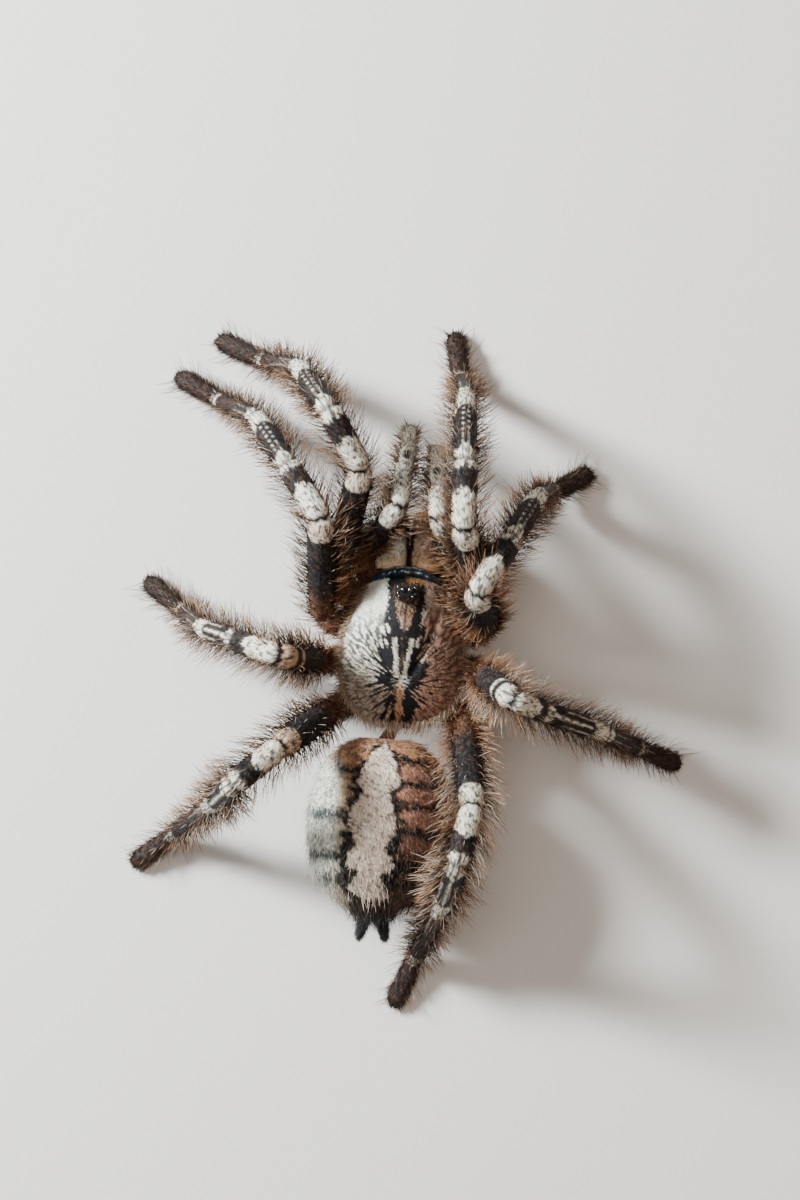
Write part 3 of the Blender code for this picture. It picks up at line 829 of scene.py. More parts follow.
def ringNormals(rings):
    # cross product of the directions round the rings and along them, turned outward
    alongRows = np.gradient(rings, axis=0)
    around = np.roll(rings, -1, axis=1) - np.roll(rings, 1, axis=1)
    normal = unit(np.cross(around, alongRows))
    centre = rings.mean(1, keepdims=True)
    outward = (normal * (rings - centre)).sum(-1).mean()
    return normal if outward > 0 else -normal


def scatter(rings, count, rng, weight=None):
    # random places on the rings' surface, evenly by area or by a weight per cell
    normals = ringNormals(rings)
    a, b = rings[:-1], rings[1:]
    area = np.linalg.norm(np.cross(b - a, np.roll(a, -1, axis=1) - a), axis=-1)
    if weight is not None:
        area = area * weight(a)
    cell = rng.choice(area.size, count, p=area.ravel() / area.sum())
    i, j = np.divmod(cell, rings.shape[1])
    k = (j + 1) % rings.shape[1]
    p, q = rng.uniform(0, 1, (2, count, 1))

    def mix(v):
        return (v[i, j] * (1 - p) + v[i + 1, j] * p) * (1 - q) + (v[i, k] * (1 - p) + v[i + 1, k] * p) * q

    along = unit(rings[i + 1, j] - rings[i, j])
    uv = np.stack([(i + p[:, 0]) / rings.shape[0], (j + q[:, 0]) / rings.shape[1]], -1) * 0.96 + 0.02
    return mix(rings), along, unit(mix(normals)), uv  # a place: roots, directions, normals and the unwrap


def bodySkin(name, rings, finish, colour, nodes, grain=(0.35, 1.6, 1.6)):
    # a stack of rings with closed ends; the grain is how fine its streaks are along x, y and z
    points = closeTube(rings)
    flow = points * np.array(grain)
    addPiece(name, points, tubeFaces(*rings.shape[:2]), finish, colour(points), flow, None, nodes)


shieldLook = {
    "length": 2 * halfShield,
    "width": 19.4,
    "rim": 14.6,
    "rise": 5.4,
    "coatDepth": 0.2,
    "frontDepth": 0.03,  # share of the length cut off in front
    "pit": 0.68,  # share of the length at which the streaks meet
    # half width of the dark middle band at shares of the length
    "bandAt": (0.0, 0.08, 0.28, 0.41, 0.55, 0.68, 0.81, 0.95, 1.0),
    "bandHalf": (2.7, 2.8, 2.7, 3.0, 3.9, 3.9, 2.8, 1.9, 1.6),
    "tufts": hairKind(35000, (0.3, 0.6), 0.1, (0.08, 0.4), 0.1, spread=0.18),
    "fringe": hairKind(1500, (0.9, 1.7), 0.085, (0.0, 0.25), (-0.2, 0.3), 3, 1.0, 0.22),
    "frontFringe": (0.4, 0.8),  # its lengths along the front edge
}


def shieldHalf(share):
    # half width at a share of the length: a quarter sine up to the widest place, then a rounded close
    grow = 0.62 + 0.38 * np.sin(np.clip(share / 0.58, 0, 1) * np.pi / 2) ** 1.15
    close = np.sqrt(np.clip(1 - (np.clip(share - 0.58, 0, 1) / 0.425) ** 2.3, 0.02, 1))
    return shieldLook["width"] / 2 * grow * close


def shieldTop(across, share):
    # dome over an oval rim, a raised head in front, a pit, and two grooves that spread forward from it
    edge = (1 - np.minimum(np.abs(across), 1) ** 2.6) ** 0.6
    rise = shieldLook["rise"] * (0.84 - 0.16 * share)
    dome = rise * np.sin(np.pi * np.clip(0.9 * share + 0.14, 0, 1)) ** 0.45
    head = 0.95 * np.exp(-(((share - 0.3) / 0.26) ** 2) - (across / 0.42) ** 2)
    pit = 0.9 * np.exp(-(((share - 0.67) / 0.05) ** 2) - (across / 0.13) ** 2)
    line = np.abs(across) - 0.16 - np.clip(0.64 - share, 0, 1) * 1.15
    groove = 0.42 * np.exp(-((line / 0.09) ** 2)) * (share < 0.66)
    return (dome + head - groove) * edge - pit * edge


def shieldRings(rows, sides):
    # rings from front to rear; the first five shrink to close the front, and the lower half is flat
    look = shieldLook
    share = np.concatenate([np.zeros(5), 0.5 - 0.5 * np.cos(np.pi * np.linspace(0, 1, rows))])
    shrink = np.concatenate([[0.25, 0.55, 0.78, 0.9, 0.97], np.ones(rows)])[:, None]
    pull = np.concatenate([[0.02, 0.04, 0.12, 0.22, 0.34], np.zeros(rows)])[:, None]
    turn = fullTurn(sides)
    across = np.cos(turn)[None] * np.ones((len(share), 1))
    s = share[:, None]
    half = shieldHalf(s) - look["coatDepth"]
    upper = np.sin(turn)[None] >= -1e-6
    top = np.maximum(shieldTop(across, s), 0.35) - look["coatDepth"]
    z = np.where(upper, top, 0.05)
    bow = (1.1 * across**4 - 0.55 * (1 - across**2)) * np.clip(1 - s * 5, 0, 1)
    y = (np.clip(s, look["frontDepth"], 0.985) - 0.5) * look["length"] + bow + 0.4 * (shrink < 1) - pull
    mid = np.where(s < 0.01, 1.3, 0.0)
    return np.stack([across * half * shrink, y, look["rim"] + mid + (z - mid) * shrink], -1) + bodyMid


def shieldColour(points):
    # pale flanks and a dark middle band, with rays drawn in the angle and distance from the pit, and painted
    # shade that browns the right side
    look = shieldLook
    p = points - bodyMid
    x, y = p[:, 0], p[:, 1]
    u = y / look["length"] + 0.5
    pitY = (look["pit"] - 0.5) * look["length"]
    away = np.hypot(x, y - pitY)
    angle = np.arctan2(y - pitY, np.abs(x) + 0.2)
    spin = np.stack([angle * 8.5 + np.sign(x) * 9, away * 0.3], -1)
    rays = ripple(spin, 1.15, 21)
    fineRays = ripple(spin * np.array([1.05, 1.3]), 0.8, 22)
    fine = ripple(p, 0.4, 23)
    broad = ripple(p, 5.0, 24)
    band = np.interp(u, look["bandAt"], look["bandHalf"])
    # long dark rays leave the band round the pit; shorter dashes cover the flanks
    raggedBy = 0.15 + 1.35 * soft(u, 0.36, 0.2)
    out = np.abs(x) - band - raggedBy * 0.75 * (rays + 0.4 * fineRays) - 0.2 * fine
    pale = soft(out, 0.1, 0.35)
    dashes = ripple(spin * np.array([1.3, 2.4]), 0.8, 25)
    streaks = soft(fineRays + 0.6 * dashes + 0.3 * fine, 0.3 * soft(u, 0.65, 0.2) - 0.15, 0.6)
    streaks = streaks * hump(away, 7.4, 5.6) * soft(u + 0.03 * broad + 0.14 * soft(-x, 2.0, 2.0), 0.27, 0.18)
    specks = soft(fine + 0.5 * dashes, 0.85, 0.4) * (0.3 + 0.6 * soft(u, 0.3, 0.3))
    # painted shade: the right side, towards -x, is tinted brown as if turned away from the light
    paintedShadeSide = soft(-x, 2.0, 5.0)
    pale = pale * (1 - (0.9 - 0.3 * soft(u, 0.6, 0.3)) * streaks) * (1 - 0.7 * specks)
    rimHalf = shieldHalf(u)
    nearRim = soft(np.abs(x) / rimHalf, 0.9, 0.2)
    # the warmth is partly the rim's and the rear's own tone and partly the painted shade of the right side
    warmthAndShade = 0.04 + (0.2 + 0.4 * soft(u, 0.4, 0.2)) * nearRim + 0.5 * soft(u, 0.62, 0.4)
    warmthAndShade = warmthAndShade + 0.1 * broad + 0.85 * paintedShadeSide
    light = blend(cream, white, 0.75 - 0.55 * soft(u, 0.5, 0.35))
    light = blend(light, fawn * np.array([0.93, 0.83, 0.76]), np.clip(warmthAndShade, 0, 0.95))
    dark = blend(ink, soot, 0.35 + 0.3 * fine)
    dark = blend(dark, brown, np.clip(0.6 * warmthAndShade - 0.1, 0, 0.6) * soft(out, 0.4, 0.8))
    colour = blend(dark, light, pale)
    # the drop behind the eyes, with its middle line and two spots
    dropHalf = np.interp(u, (0.09, 0.13, 0.22, 0.3, 0.37), (0.4, 1.45, 1.3, 0.85, 0.0))
    drop = soft(dropHalf - np.abs(x + 0.1) - 0.22 * fine - 0.12 * rays, 0.05, 0.25) * (u > 0.09)
    drop = drop * (1 - 0.9 * hump(x + 0.1, 0, 0.2) * soft(u, 0.19, 0.04))
    drop = drop * (1 - 0.9 * soft(fine + 0.4 * rays, 0.1, 0.5))
    spot = np.exp(-(((np.abs(x + 0.1) - 0.85) / 0.36) ** 2) - ((u - 0.155) / 0.014) ** 2)
    dropTone = blend(tan * 0.8, blush * 0.85, 0.5 + 0.3 * broad + 0.3 * fine)
    colour = blend(colour, dropTone, drop * (1 - 0.95 * spot))
    # a golden patch on the front edge, to one side of the middle
    brow = np.exp(-(((x + 1.5) / 1.45) ** 4)) * (1 - soft(u, 0.035 + 0.012 * fine, 0.02))
    colour = blend(colour, gold * 1.25, 0.9 * brow)
    # two pale stripes that draw together towards the pit, the tuft round the pit and the stripe behind it
    lineX = np.interp(u, (0.42, 0.66), (1.3, 0.5))
    stripe = soft(0.3 - np.abs(np.abs(x) - lineX) - 0.1 * fine, 0, 0.12) * (u > 0.405) * (u < 0.66)
    stripe = stripe * (1 - 0.6 * soft(fine, 0.6, 0.4))
    star = soft(1.7 - away - 0.6 * np.cos(angle * 9), 0.2, 0.5) * soft(np.cos(angle * 9), 0.1, 0.7)
    rear = soft(0.5 + 0.16 * np.sin(u * 60) - np.abs(x) - 0.14 * fine, 0, 0.2) * (u > 0.69)
    colour = blend(colour, cream, 0.85 * stripe + 0.7 * star)
    colour = blend(colour, tan * 1.25, 0.85 * rear * (1 - 0.7 * soft(fine, 0.5, 0.4)))
    # broken dark spots beside the eyes, on one side
    mark = np.exp(-(((x + 5.0 + (u - 0.12) * 18) / 0.5) ** 2) - ((u - 0.12) / 0.05) ** 2)
    mark = np.maximum(mark, np.exp(-(((x + 4.2) / 1.3) ** 2) - ((u - 0.055) / 0.016) ** 2))
    colour = blend(colour, soot, 1.3 * mark * soft(fine, -0.2, 0.8))
    return blend(colour, soot, soft(-p[:, 2], -look["rim"] - 0.1, 0.2) * 0.8)


shieldSurface = shieldRings(176, 224)
bodySkin("shieldSkin", shieldSurface, shieldFinish, shieldColour, ["carapace"], (1.6, 1.2, 1.6))
# short tufts that point away from the pit
rng = np.random.default_rng(7)
upperOnly = lambda p: (p[..., 2] > shieldLook["rim"] + 0.12) * 1.0
kind = shieldLook["tufts"]
root, along, normal, uv = scatter(shieldSurface, kind["count"], rng, upperOnly)
local = root - bodyMid
pitPlace = np.array([0, (shieldLook["pit"] - 0.5) * shieldLook["length"], 18.0])
outFlow = unit((local - pitPlace) * np.array([1, 1, 0.2]) + np.array([0, -1.5, 0]) * (local[:, 1:2] < 0))
shade = shieldColour(root + outFlow * 0.15) * rng.uniform(0.7, 1.25, (len(root), 1))
size = rng.uniform(*kind["length"], len(root))
shieldHairs = [sprout((root, outFlow, normal, uv), rng, kind, shade, shade * 1.12, length=size)]
# the fringe round the rim: short in front, long and curved behind
onRim = lambda p: ((p[..., 2] > shieldLook["rim"] + 0.1) & (p[..., 2] < shieldLook["rim"] + 0.9)) * 1.0
kind = shieldLook["fringe"]
place = scatter(shieldSurface, kind["count"], rng, onRim)
local = place[0] - bodyMid
n = len(local)
behind = soft(local[:, 1], 6.0, 6.0)
outward = np.sign(local[:, 0]) * (0.9 - 1.2 * behind)
sweep = np.stack([outward, 0.35 + 1.0 * behind, -0.15 - 0.1 * behind], -1)
sweep = unit(sweep + rng.normal(size=sweep.shape) * kind["spread"])
front = (local[:, 1] < -10.6) & (np.abs(local[:, 0]) < 5.6)
sweep[front] = unit(np.array([0, -1.0, 0.05]) + rng.normal(size=(front.sum(), 3)) * 0.2)
size = rng.uniform(*kind["length"], n) + 1.3 * behind * rng.uniform(0, 1, n)
size = np.where(front, rng.uniform(*shieldLook["frontFringe"], n), size)
tint = blend(tan, cream, rng.uniform(0, 1, n) * (0.4 + 0.6 * behind))
tint = np.where(front[:, None], gold * 1.3, tint)
shieldHairs.append(sprout(place, rng, kind, tint * 0.6, tint, sweep, size))
joinHairs("shieldCoat", shieldHairs)

# Eyes
eyeLook = {
    "mound": (1.9, 1.25, 0.9),
    "behindFront": 2.4,
    # side, rearward, up from the mound's middle, and radius, for one of each pair
    "pairs": (
        (0.55, -0.35, 0.62, 0.46),
        (1.3, -0.75, 0.2, 0.38),
        (1.25, 0.15, 0.36, 0.33),
        (1.0, 0.62, 0.3, 0.3),
    ),
    "hairs": hairKind(700, (0.35, 0.8), 0.08, (0.1, 0.5), 0.1, 1, 1.0, 0.25),
}
eyeHeight = shieldLook["rim"] + shieldLook["rise"] + 0.15
eyeMid = bodyMid + np.array([0, eyeLook["behindFront"] - halfShield, eyeHeight])


def ballRings(centre, radii, rows, sides):
    # rings of an oval ball from its lowest to its highest y, short of the poles by a small angle
    t = np.linspace(0.06, np.pi - 0.06, rows)[:, None]
    turn = fullTurn(sides)[None]
    ball = np.stack([np.sin(t) * np.cos(turn), -np.cos(t) + 0 * turn, np.sin(t) * np.sin(turn)], -1)
    return ball * np.array(radii) + np.array(centre)


def plain(tone):
    # one tone all over
    return lambda points: np.broadcast_to(tone, (len(points), 3))


moundRings = ballRings(eyeMid - np.array([0, 0, 0.12]), np.array(eyeLook["mound"]) - 0.1, 24, 40)
bodySkin("eyeMound", moundRings, moundFinish, plain(ink), ["eyes"])
# short dark hairs, most of them round the foot of the mound
rng = np.random.default_rng(17)
kind = eyeLook["hairs"]
foot = lambda p: (0.12 + soft(eyeMid[2] + 0.35 - p[..., 2], 0.0, 0.4)) * (p[..., 2] > eyeMid[2] - 0.7)
place = scatter(moundRings, kind["count"], rng, foot)
n = kind["count"]
shade = blend(soot, brown, rng.uniform(0, 1, n))
outward = place[2] * np.array([1, 1, 0.2]) + np.array([0, 0.5, 0])
sweep = unit(outward + rng.normal(size=(n, 3)) * kind["spread"])
joinHairs("moundCoat", [sprout(place, rng, kind, shade, shade * 1.4, sweep)])
lensPoints, lensFaces = [], []
for x, y, z, radius in eyeLook["pairs"]:
    for left in (1, -1):
        ball = ballRings(eyeMid + np.array([left * x, y, z]), (radius,) * 3, 18, 28)
        lensFaces.append(tubeFaces(18, 28) + sum(len(v) for v in lensPoints))
        lensPoints.append(closeTube(ball))
addPiece("eyeLenses", np.vstack(lensPoints), np.vstack(lensFaces), lensFinish)
print("shield and eyes made")

# Jaws
jawLook = {
    # y from the middle of the shield, height, half width, above, below, at stations along the jaw
    "stations": (
        (-12.6, 14.0, 2.2, 1.9, 2.8),
        (-13.6, 14.0, 2.5, 2.5, 4.2),
        (-15.6, 13.1, 2.45, 2.4, 4.3),
        (-17.8, 11.8, 2.3, 2.15, 3.9),
        (-19.8, 10.5, 2.1, 2.1, 3.1),
        (-21.2, 9.9, 1.7, 1.8, 2.2),
        (-21.9, 9.6, 0.9, 0.9, 1.1),
    ),
    "apart": 2.66,
    "coatDepth": 0.12,
    "tufts": hairKind(7200, (0.45, 0.8), 0.11, (0.1, 0.35), 0.1, spread=0.25),
    "long": hairKind(800, (1.2, 2.6), 0.09, (0.3, 0.8), (0.2, 0.6), 4, 1.0),
    "fringe": hairKind(1300, (1.2, 2.7), 0.1, (0.0, 0.3), (-0.2, 0.3), 2, 1.0),
    "cleft": hairKind(1450, (0.7, 1.3), 0.14, (0.5, 1.3), 0.1, 2, 1.0, 0.45),  # lengths are times the gap's
    "fang": {"girth": 0.85, "thinning": 0.57, "reach": 7.6, "droop": 1.9},
}


def jawColour(points):
    # steps in height and length: fawn and cream above, brown below, golden behind, painted light on the
    # upper left, painted shade deep in the cleft, and soot at the tip that is painted shadow of the palps
    p = points - bodyMid
    fine = ripple(p, 0.5, 31)
    broad = ripple(p, 1.8, 32)
    # painted light: more cream, and a lift in brightness, on the upper left side where the light falls
    creamToneAndLitSide = 0.35 + 0.15 * broad + 0.2 * soft(p[:, 0], 1, 2)
    tone = blend(fawn * 1.7, cream, creamToneAndLitSide)
    lit = soft(p[:, 0], 0.3, 1.0) * soft(p[:, 2], 12.6, 1.6)
    tone = np.minimum(tone * (1.05 + 0.8 * lit)[:, None], 0.85)
    shaded = 0.7 * soft(fine, 1.0, 0.4) + 0.75 * soft(-p[:, 2], -12.2, 2.5)
    tone = blend(tone, brown, shaded)
    tone = blend(tone, gold * 1.9, 0.55 * soft(p[:, 1], -14.6, 2.4))
    # painted shade: soot deep in the cleft between the jaws, and painted shadow of the palps over the tip
    inner = 0.9 * soft(-np.abs(p[:, 0]), -0.35, 0.7)
    tone = blend(tone, soot, 0.9 * soft(-p[:, 1], 20.2, 2.0) + inner)
    return blend(tone, ink, soft(p[:, 1], -12.8, 0.3))


def jawRings(left):
    # oval rings whose measures follow a smooth cubic curve through the stations
    table = np.array(jawLook["stations"])
    t = 0.5 - 0.5 * np.cos(np.pi * np.linspace(0, 1, 46))
    at = np.interp(t, np.linspace(0, 1, 7), np.arange(7))
    k = np.clip(at.astype(int), 0, 5)
    q = (at - k)[:, None]
    pad = np.vstack([table[0], table, table[-1]])
    a, b, c, d = pad[k], pad[k + 1], pad[k + 2], pad[k + 3]
    row = 0.5 * (2 * b + (c - a) * q + (2 * a - 5 * b + 4 * c - d) * q**2 + (3 * b - a - 3 * c + d) * q**3)
    turn = fullTurn(40)
    tall = np.where(np.sin(turn) > 0, row[:, 3:4], row[:, 4:5]) - jawLook["coatDepth"]
    return np.stack([
        left * jawLook["apart"] + np.cos(turn) * (row[:, 2:3] - jawLook["coatDepth"]),
        row[:, 0:1] + 0 * turn,
        row[:, 1:2] + np.sin(turn) * np.maximum(tall, 0.2),
    ], -1) + bodyMid


def fangRings(left):
    # a tapering horn folded back under the jaw in a half sine, with a rounded end
    look = jawLook["fang"]
    s = np.linspace(0, 1, 34)[:, None]
    rounded = np.sqrt(np.clip(1 - (np.clip(s - 0.9, 0, 1) / 0.101) ** 2, 0.05, 1))
    girth = (look["girth"] - look["thinning"] * s) * rounded
    turn = fullTurn(24)
    return np.stack([
        left * (2.9 - 0.9 * s) + np.cos(turn) * girth,
        -20.6 + look["reach"] * s + 0 * turn,
        6.7 - look["droop"] * np.sin(np.pi * s * 0.9) + np.sin(turn) * girth,
    ], -1) + bodyMid


# where each batch of jaw hairs grows
midX, midY, midZ = bodyMid
jawPlaces = {
    "tufts": lambda p: (p[..., 1] < midY - 12.95) * 1.0,
    "long": lambda p: (p[..., 1] < midY - 15) * soft(
        midZ + 12.5 - p[..., 2] - (p[..., 1] - midY + 18) * 0.5, -1.0, 3),
    "fringe": lambda p: (p[..., 1] < midY - 14) * (p[..., 2] < midZ + 9.6),
    "cleft": lambda p: soft(-np.abs(p[..., 0] - midX), -0.75, 0.5) * (p[..., 1] < midY - 12.8) * (
        p[..., 2] < midZ + 14.8 + 0.5 * (p[..., 1] - midY + 13.6)),
}
for side, left in (("l", 1), ("r", -1)):
    surface = jawRings(left)
    bodySkin("jawSkin_" + side, surface, bodyVelvet, jawColour, ["chelicera_" + side],
             (1.6, 0.35, 1.6))
    rng = np.random.default_rng(60 + left)
    hairs = []
    for name, where in jawPlaces.items():
        kind = jawLook[name]
        n = kind["count"]
        place = scatter(surface, n, rng, where)
        sweep = size = None
        if name == "tufts":
            base = jawColour(place[0]) * rng.uniform(0.65, 1.3, (n, 1))
            tip = base * 1.15
        elif name == "long":  # in front and below
            tip = blend(rust, tan, rng.uniform(0, 1, n))
            base = tip * 0.5
        elif name == "fringe":  # along the lower edge, over the joint of the fang
            tip = blend(rust * 0.8, gold, rng.uniform(0, 1, n))
            base = tip * 0.5
            sweep = unit(np.array([0, 0.45, -1.0]) + rng.normal(size=(n, 3)) * kind["spread"])
        else:  # dark hairs that close the cleft between the jaws
            # the hairs are real, and their soot and brown also paint the cleft's shade
            size = (0.35 + 0.85 * np.abs(place[0][:, 0] - midX)) * rng.uniform(*kind["length"], n)
            base = tip = blend(soot, brown, rng.uniform(0, 1, n) ** 2)
        hairs.append(sprout(place, rng, kind, base, tip, sweep, size))
    joinHairs("jawCoat_" + side, hairs)
    bodySkin("fangHorn_" + side, fangRings(left), hornBlack, plain(ink), ["fang_" + side])

# the bare dark band between the shield and the jaws:
# an arched tube that tapers at both ends, with sine waves for lumps so that it glints
browLook = {"halfWidth": 5.6, "middle": (-12.45, 15.75), "bow": (1.5, 0.8), "radii": (1.05, 1.8)}
s = np.linspace(-1, 1, 120)[:, None]
turn = fullTurn(28)
lumps = 0.1 * np.sin(s * 11 + 0.8) * np.cos(turn - 1.2) + 0.06 * np.sin(s * 23 + 2 * turn)
plump = np.sqrt(np.clip(1 - np.abs(s) ** 3, 0.02, 1)) * (1 + lumps)
browRings = np.stack([
    browLook["halfWidth"] * s + 0 * turn,
    browLook["middle"][0] + browLook["bow"][0] * s**2 + np.cos(turn) * browLook["radii"][0] * plump,
    browLook["middle"][1] - browLook["bow"][1] * s**2 + np.sin(turn) * browLook["radii"][1] * plump,
], -1) + bodyMid
bodySkin("browMembrane", browRings, membraneFinish, plain(ink), [])
print("jaws made")

# Underside and waist
plateLook = {
    # y, height, half width, above, below, from front to rear
    "rows": (
        (-11.6, 11.9, 1.6, 1.2, 1.2),
        (-10.2, 11.5, 3.2, 2.2, 2.2),
        (-6.0, 11.3, 5.0, 2.6, 3.2),
        (0.0, 11.3, 5.6, 2.6, 3.5),
        (5.5, 11.3, 4.6, 2.6, 3.0),
        (9.2, 11.7, 2.6, 2.0, 2.0),
        (10.2, 11.9, 1.4, 1.2, 1.2),
    ),
    "coatDepth": 0.3,
    "tufts": hairKind(4500, (0.7, 1.3), 0.14, (0.15, 0.5), 0.1),
    "waistRows": ((10.0, 12.2, 1.25, 1.1, 1.1), (11.4, 12.4, 1.05, 0.95, 0.95), (13.2, 12.8, 1.3, 1.1, 1.1)),
    "waistDepth": 0.05,
}


def ovalStack(rows, depth, count, sides):
    # oval rings; each measure follows straight lines between the rows
    rows = np.array(rows)
    y = np.interp(0.5 - 0.5 * np.cos(np.pi * np.linspace(0, 1, count)), (0, 1), (rows[0, 0], rows[-1, 0]))
    turn = fullTurn(sides)
    cols = [np.interp(y, rows[:, 0], rows[:, k])[:, None] for k in range(1, 5)]
    tall = np.where(np.sin(turn) > 0, cols[2], cols[3]) - depth
    ring = [np.cos(turn) * (cols[1] - depth), y[:, None] + 0 * turn, cols[0] + np.sin(turn) * tall]
    return np.stack(ring, -1) + bodyMid


def undersideColour(points):
    # dark brown, mottled by a fine ripple
    fine = ripple(points, 0.8, 41)
    return blend(soot, brown, 0.5 + 0.3 * fine)


plateRings = ovalStack(plateLook["rows"], plateLook["coatDepth"], 60, 48)
bodySkin("breastSkin", plateRings, bodyVelvet, undersideColour, ["underside"])
rng = np.random.default_rng(71)
kind = plateLook["tufts"]
place = scatter(plateRings, kind["count"], rng)
shade = undersideColour(place[0]) * rng.uniform(0.7, 1.4, (kind["count"], 1))
joinHairs("breastCoat", [sprout(place, rng, kind, shade, shade * 1.2)])
abdomenLow, abdomenHigh = (np.array(v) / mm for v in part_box("abdomen"))
abdomenCloud = cloudOf("abdomen")
abdomenSpan = abdomenHigh - abdomenLow
frontEnd = abdomenCloud[abdomenCloud[:, 1] < abdomenLow[1] + 0.03 * abdomenSpan[1]].mean(0)
rearEnd = abdomenCloud[abdomenCloud[:, 1] > abdomenHigh[1] - 0.03 * abdomenSpan[1]].mean(0)
waistRings = ovalStack(plateLook["waistRows"], plateLook["waistDepth"], 20, 28)
# the waist leans towards the swung abdomen
waistRings[..., 0] += (frontEnd[0] - bodyMid[0]) * (waistRings[..., 1] - bodyMid[1] - 10) / 3.2
waistTone = blend(rust, soot, 0.5)
bodySkin("waistSkin", waistRings, bodyVelvet, plain(waistTone), ["pedicel"])
print("underside made")

# Abdomen
abdomenLook = {
    "coatDepth": 0.25,
    "at": (0.0, 0.03, 0.09, 0.18, 0.3, 0.44, 0.58, 0.71, 0.82, 0.9, 0.96, 1.0),
    "wide": (0.3, 0.52, 0.71, 0.86, 0.96, 1.0, 0.99, 0.91, 0.75, 0.56, 0.36, 0.16),
    "high": (0.3, 0.54, 0.74, 0.88, 0.97, 1.0, 0.98, 0.9, 0.75, 0.57, 0.38, 0.18),
    # the pale leaf mark: share of the length, half width, and how far its middle lies to the left
    "leaf": (
        (0.04, 0.1, 0.0), (0.085, 1.35, 0.45), (0.16, 2.45, 0.47), (0.23, 3.2, 0.5), (0.265, 2.9, 0.7),
        (0.3, 1.95, 0.8), (0.375, 2.9, 1.05), (0.43, 3.5, 1.2), (0.51, 3.4, 0.9), (0.56, 2.5, 1.0),
        (0.59, 2.2, 1.1), (0.65, 3.2, 1.3), (0.7, 3.6, 0.9), (0.735, 2.0, 0.9), (0.76, 1.6, 1.1),
        (0.83, 3.0, 1.3), (0.87, 2.6, 0.4), (0.9, 0.0, 0.4),
    ),
    # half width of the dark border round it
    "borderAt": (0.03, 0.1, 0.16, 0.23, 0.3, 0.43, 0.59, 0.7, 0.76, 0.86, 0.9),
    "borderHalf": (0.3, 2.1, 3.4, 4.0, 3.7, 4.4, 4.3, 4.5, 4.2, 3.8, 3.0),
    # dark bars on the left and right flanks: share of the length, outer end, thickness
    "leftBars": (
        (0.19, 6.8, 0.026), (0.31, 5.0, 0.018), (0.43, 10.6, 0.034),
        (0.54, 6.0, 0.02), (0.655, 10.4, 0.034), (0.785, 8.4, 0.034),
    ),
    "rightBars": (
        (0.13, 7.0, 0.02), (0.245, 8.0, 0.022), (0.365, 9.2, 0.02),
        (0.51, 11.5, 0.03), (0.7, 10.6, 0.034), (0.8, 8.0, 0.026),
    ),
    "tufts": hairKind(42000, (0.42, 0.75), 0.125, (0.15, 0.4), 0.15),
    "bristles": hairKind(2400, (1.2, 2.2), 0.1, (0.35, 0.9), (0.2, 0.7), 4, 1.0, 0.25),
    "fur": hairKind(4200, (0.9, 1.5), 0.075, (0.45, 0.95), (0.2, 0.7), 2, 1.0, 0.45),
    "rearTuft": hairKind(420, (1.3, 2.8), 0.1, (0.0, 0.4), (0.0, 0.4), 3, 1.0, 0.22),
}
abdomenAxis = unit(rearEnd - frontEnd)
abdomenSide = unit(np.cross(rearEnd - frontEnd, np.array([0, 0, 1.0])))
abdomenSide = abdomenSide if abdomenSide[0] > 0 else -abdomenSide


def abdomenRings(rows, sides):
    # full oval rings along a straight axis, thickest just before the middle; the measures follow
    # straight lines between the shares, eased over 7 rings
    look = abdomenLook
    share = 0.5 - 0.5 * np.cos(np.pi * np.linspace(0.04, 0.985, rows))
    share = (share - share[0]) / (share[-1] - share[0])
    box = np.ones(7) / 7
    ease = lambda v: np.convolve(np.pad(v, 3, mode="reflect", reflect_type="odd"), box, "valid")
    wide = ease(np.interp(share, look["at"], look["wide"])) * abdomenSpan[0] / 2 - look["coatDepth"]
    high = ease(np.interp(share, look["at"], look["high"])) * abdomenSpan[2] / 2 - look["coatDepth"]
    turn = fullTurn(sides)
    axis = frontEnd + (rearEnd - frontEnd) * (0.015 + 0.97 * share[:, None])
    out = abdomenSide * (np.sign(np.cos(turn)) * np.abs(np.cos(turn)) ** 0.94)[:, None]
    up = np.array([0, 0, 1.0]) * np.sin(turn)[:, None]
    wide, high = (np.maximum(v, 0.3)[:, None, None] for v in (wide, high))
    return axis[:, None] + out[None] * wide + up[None] * high


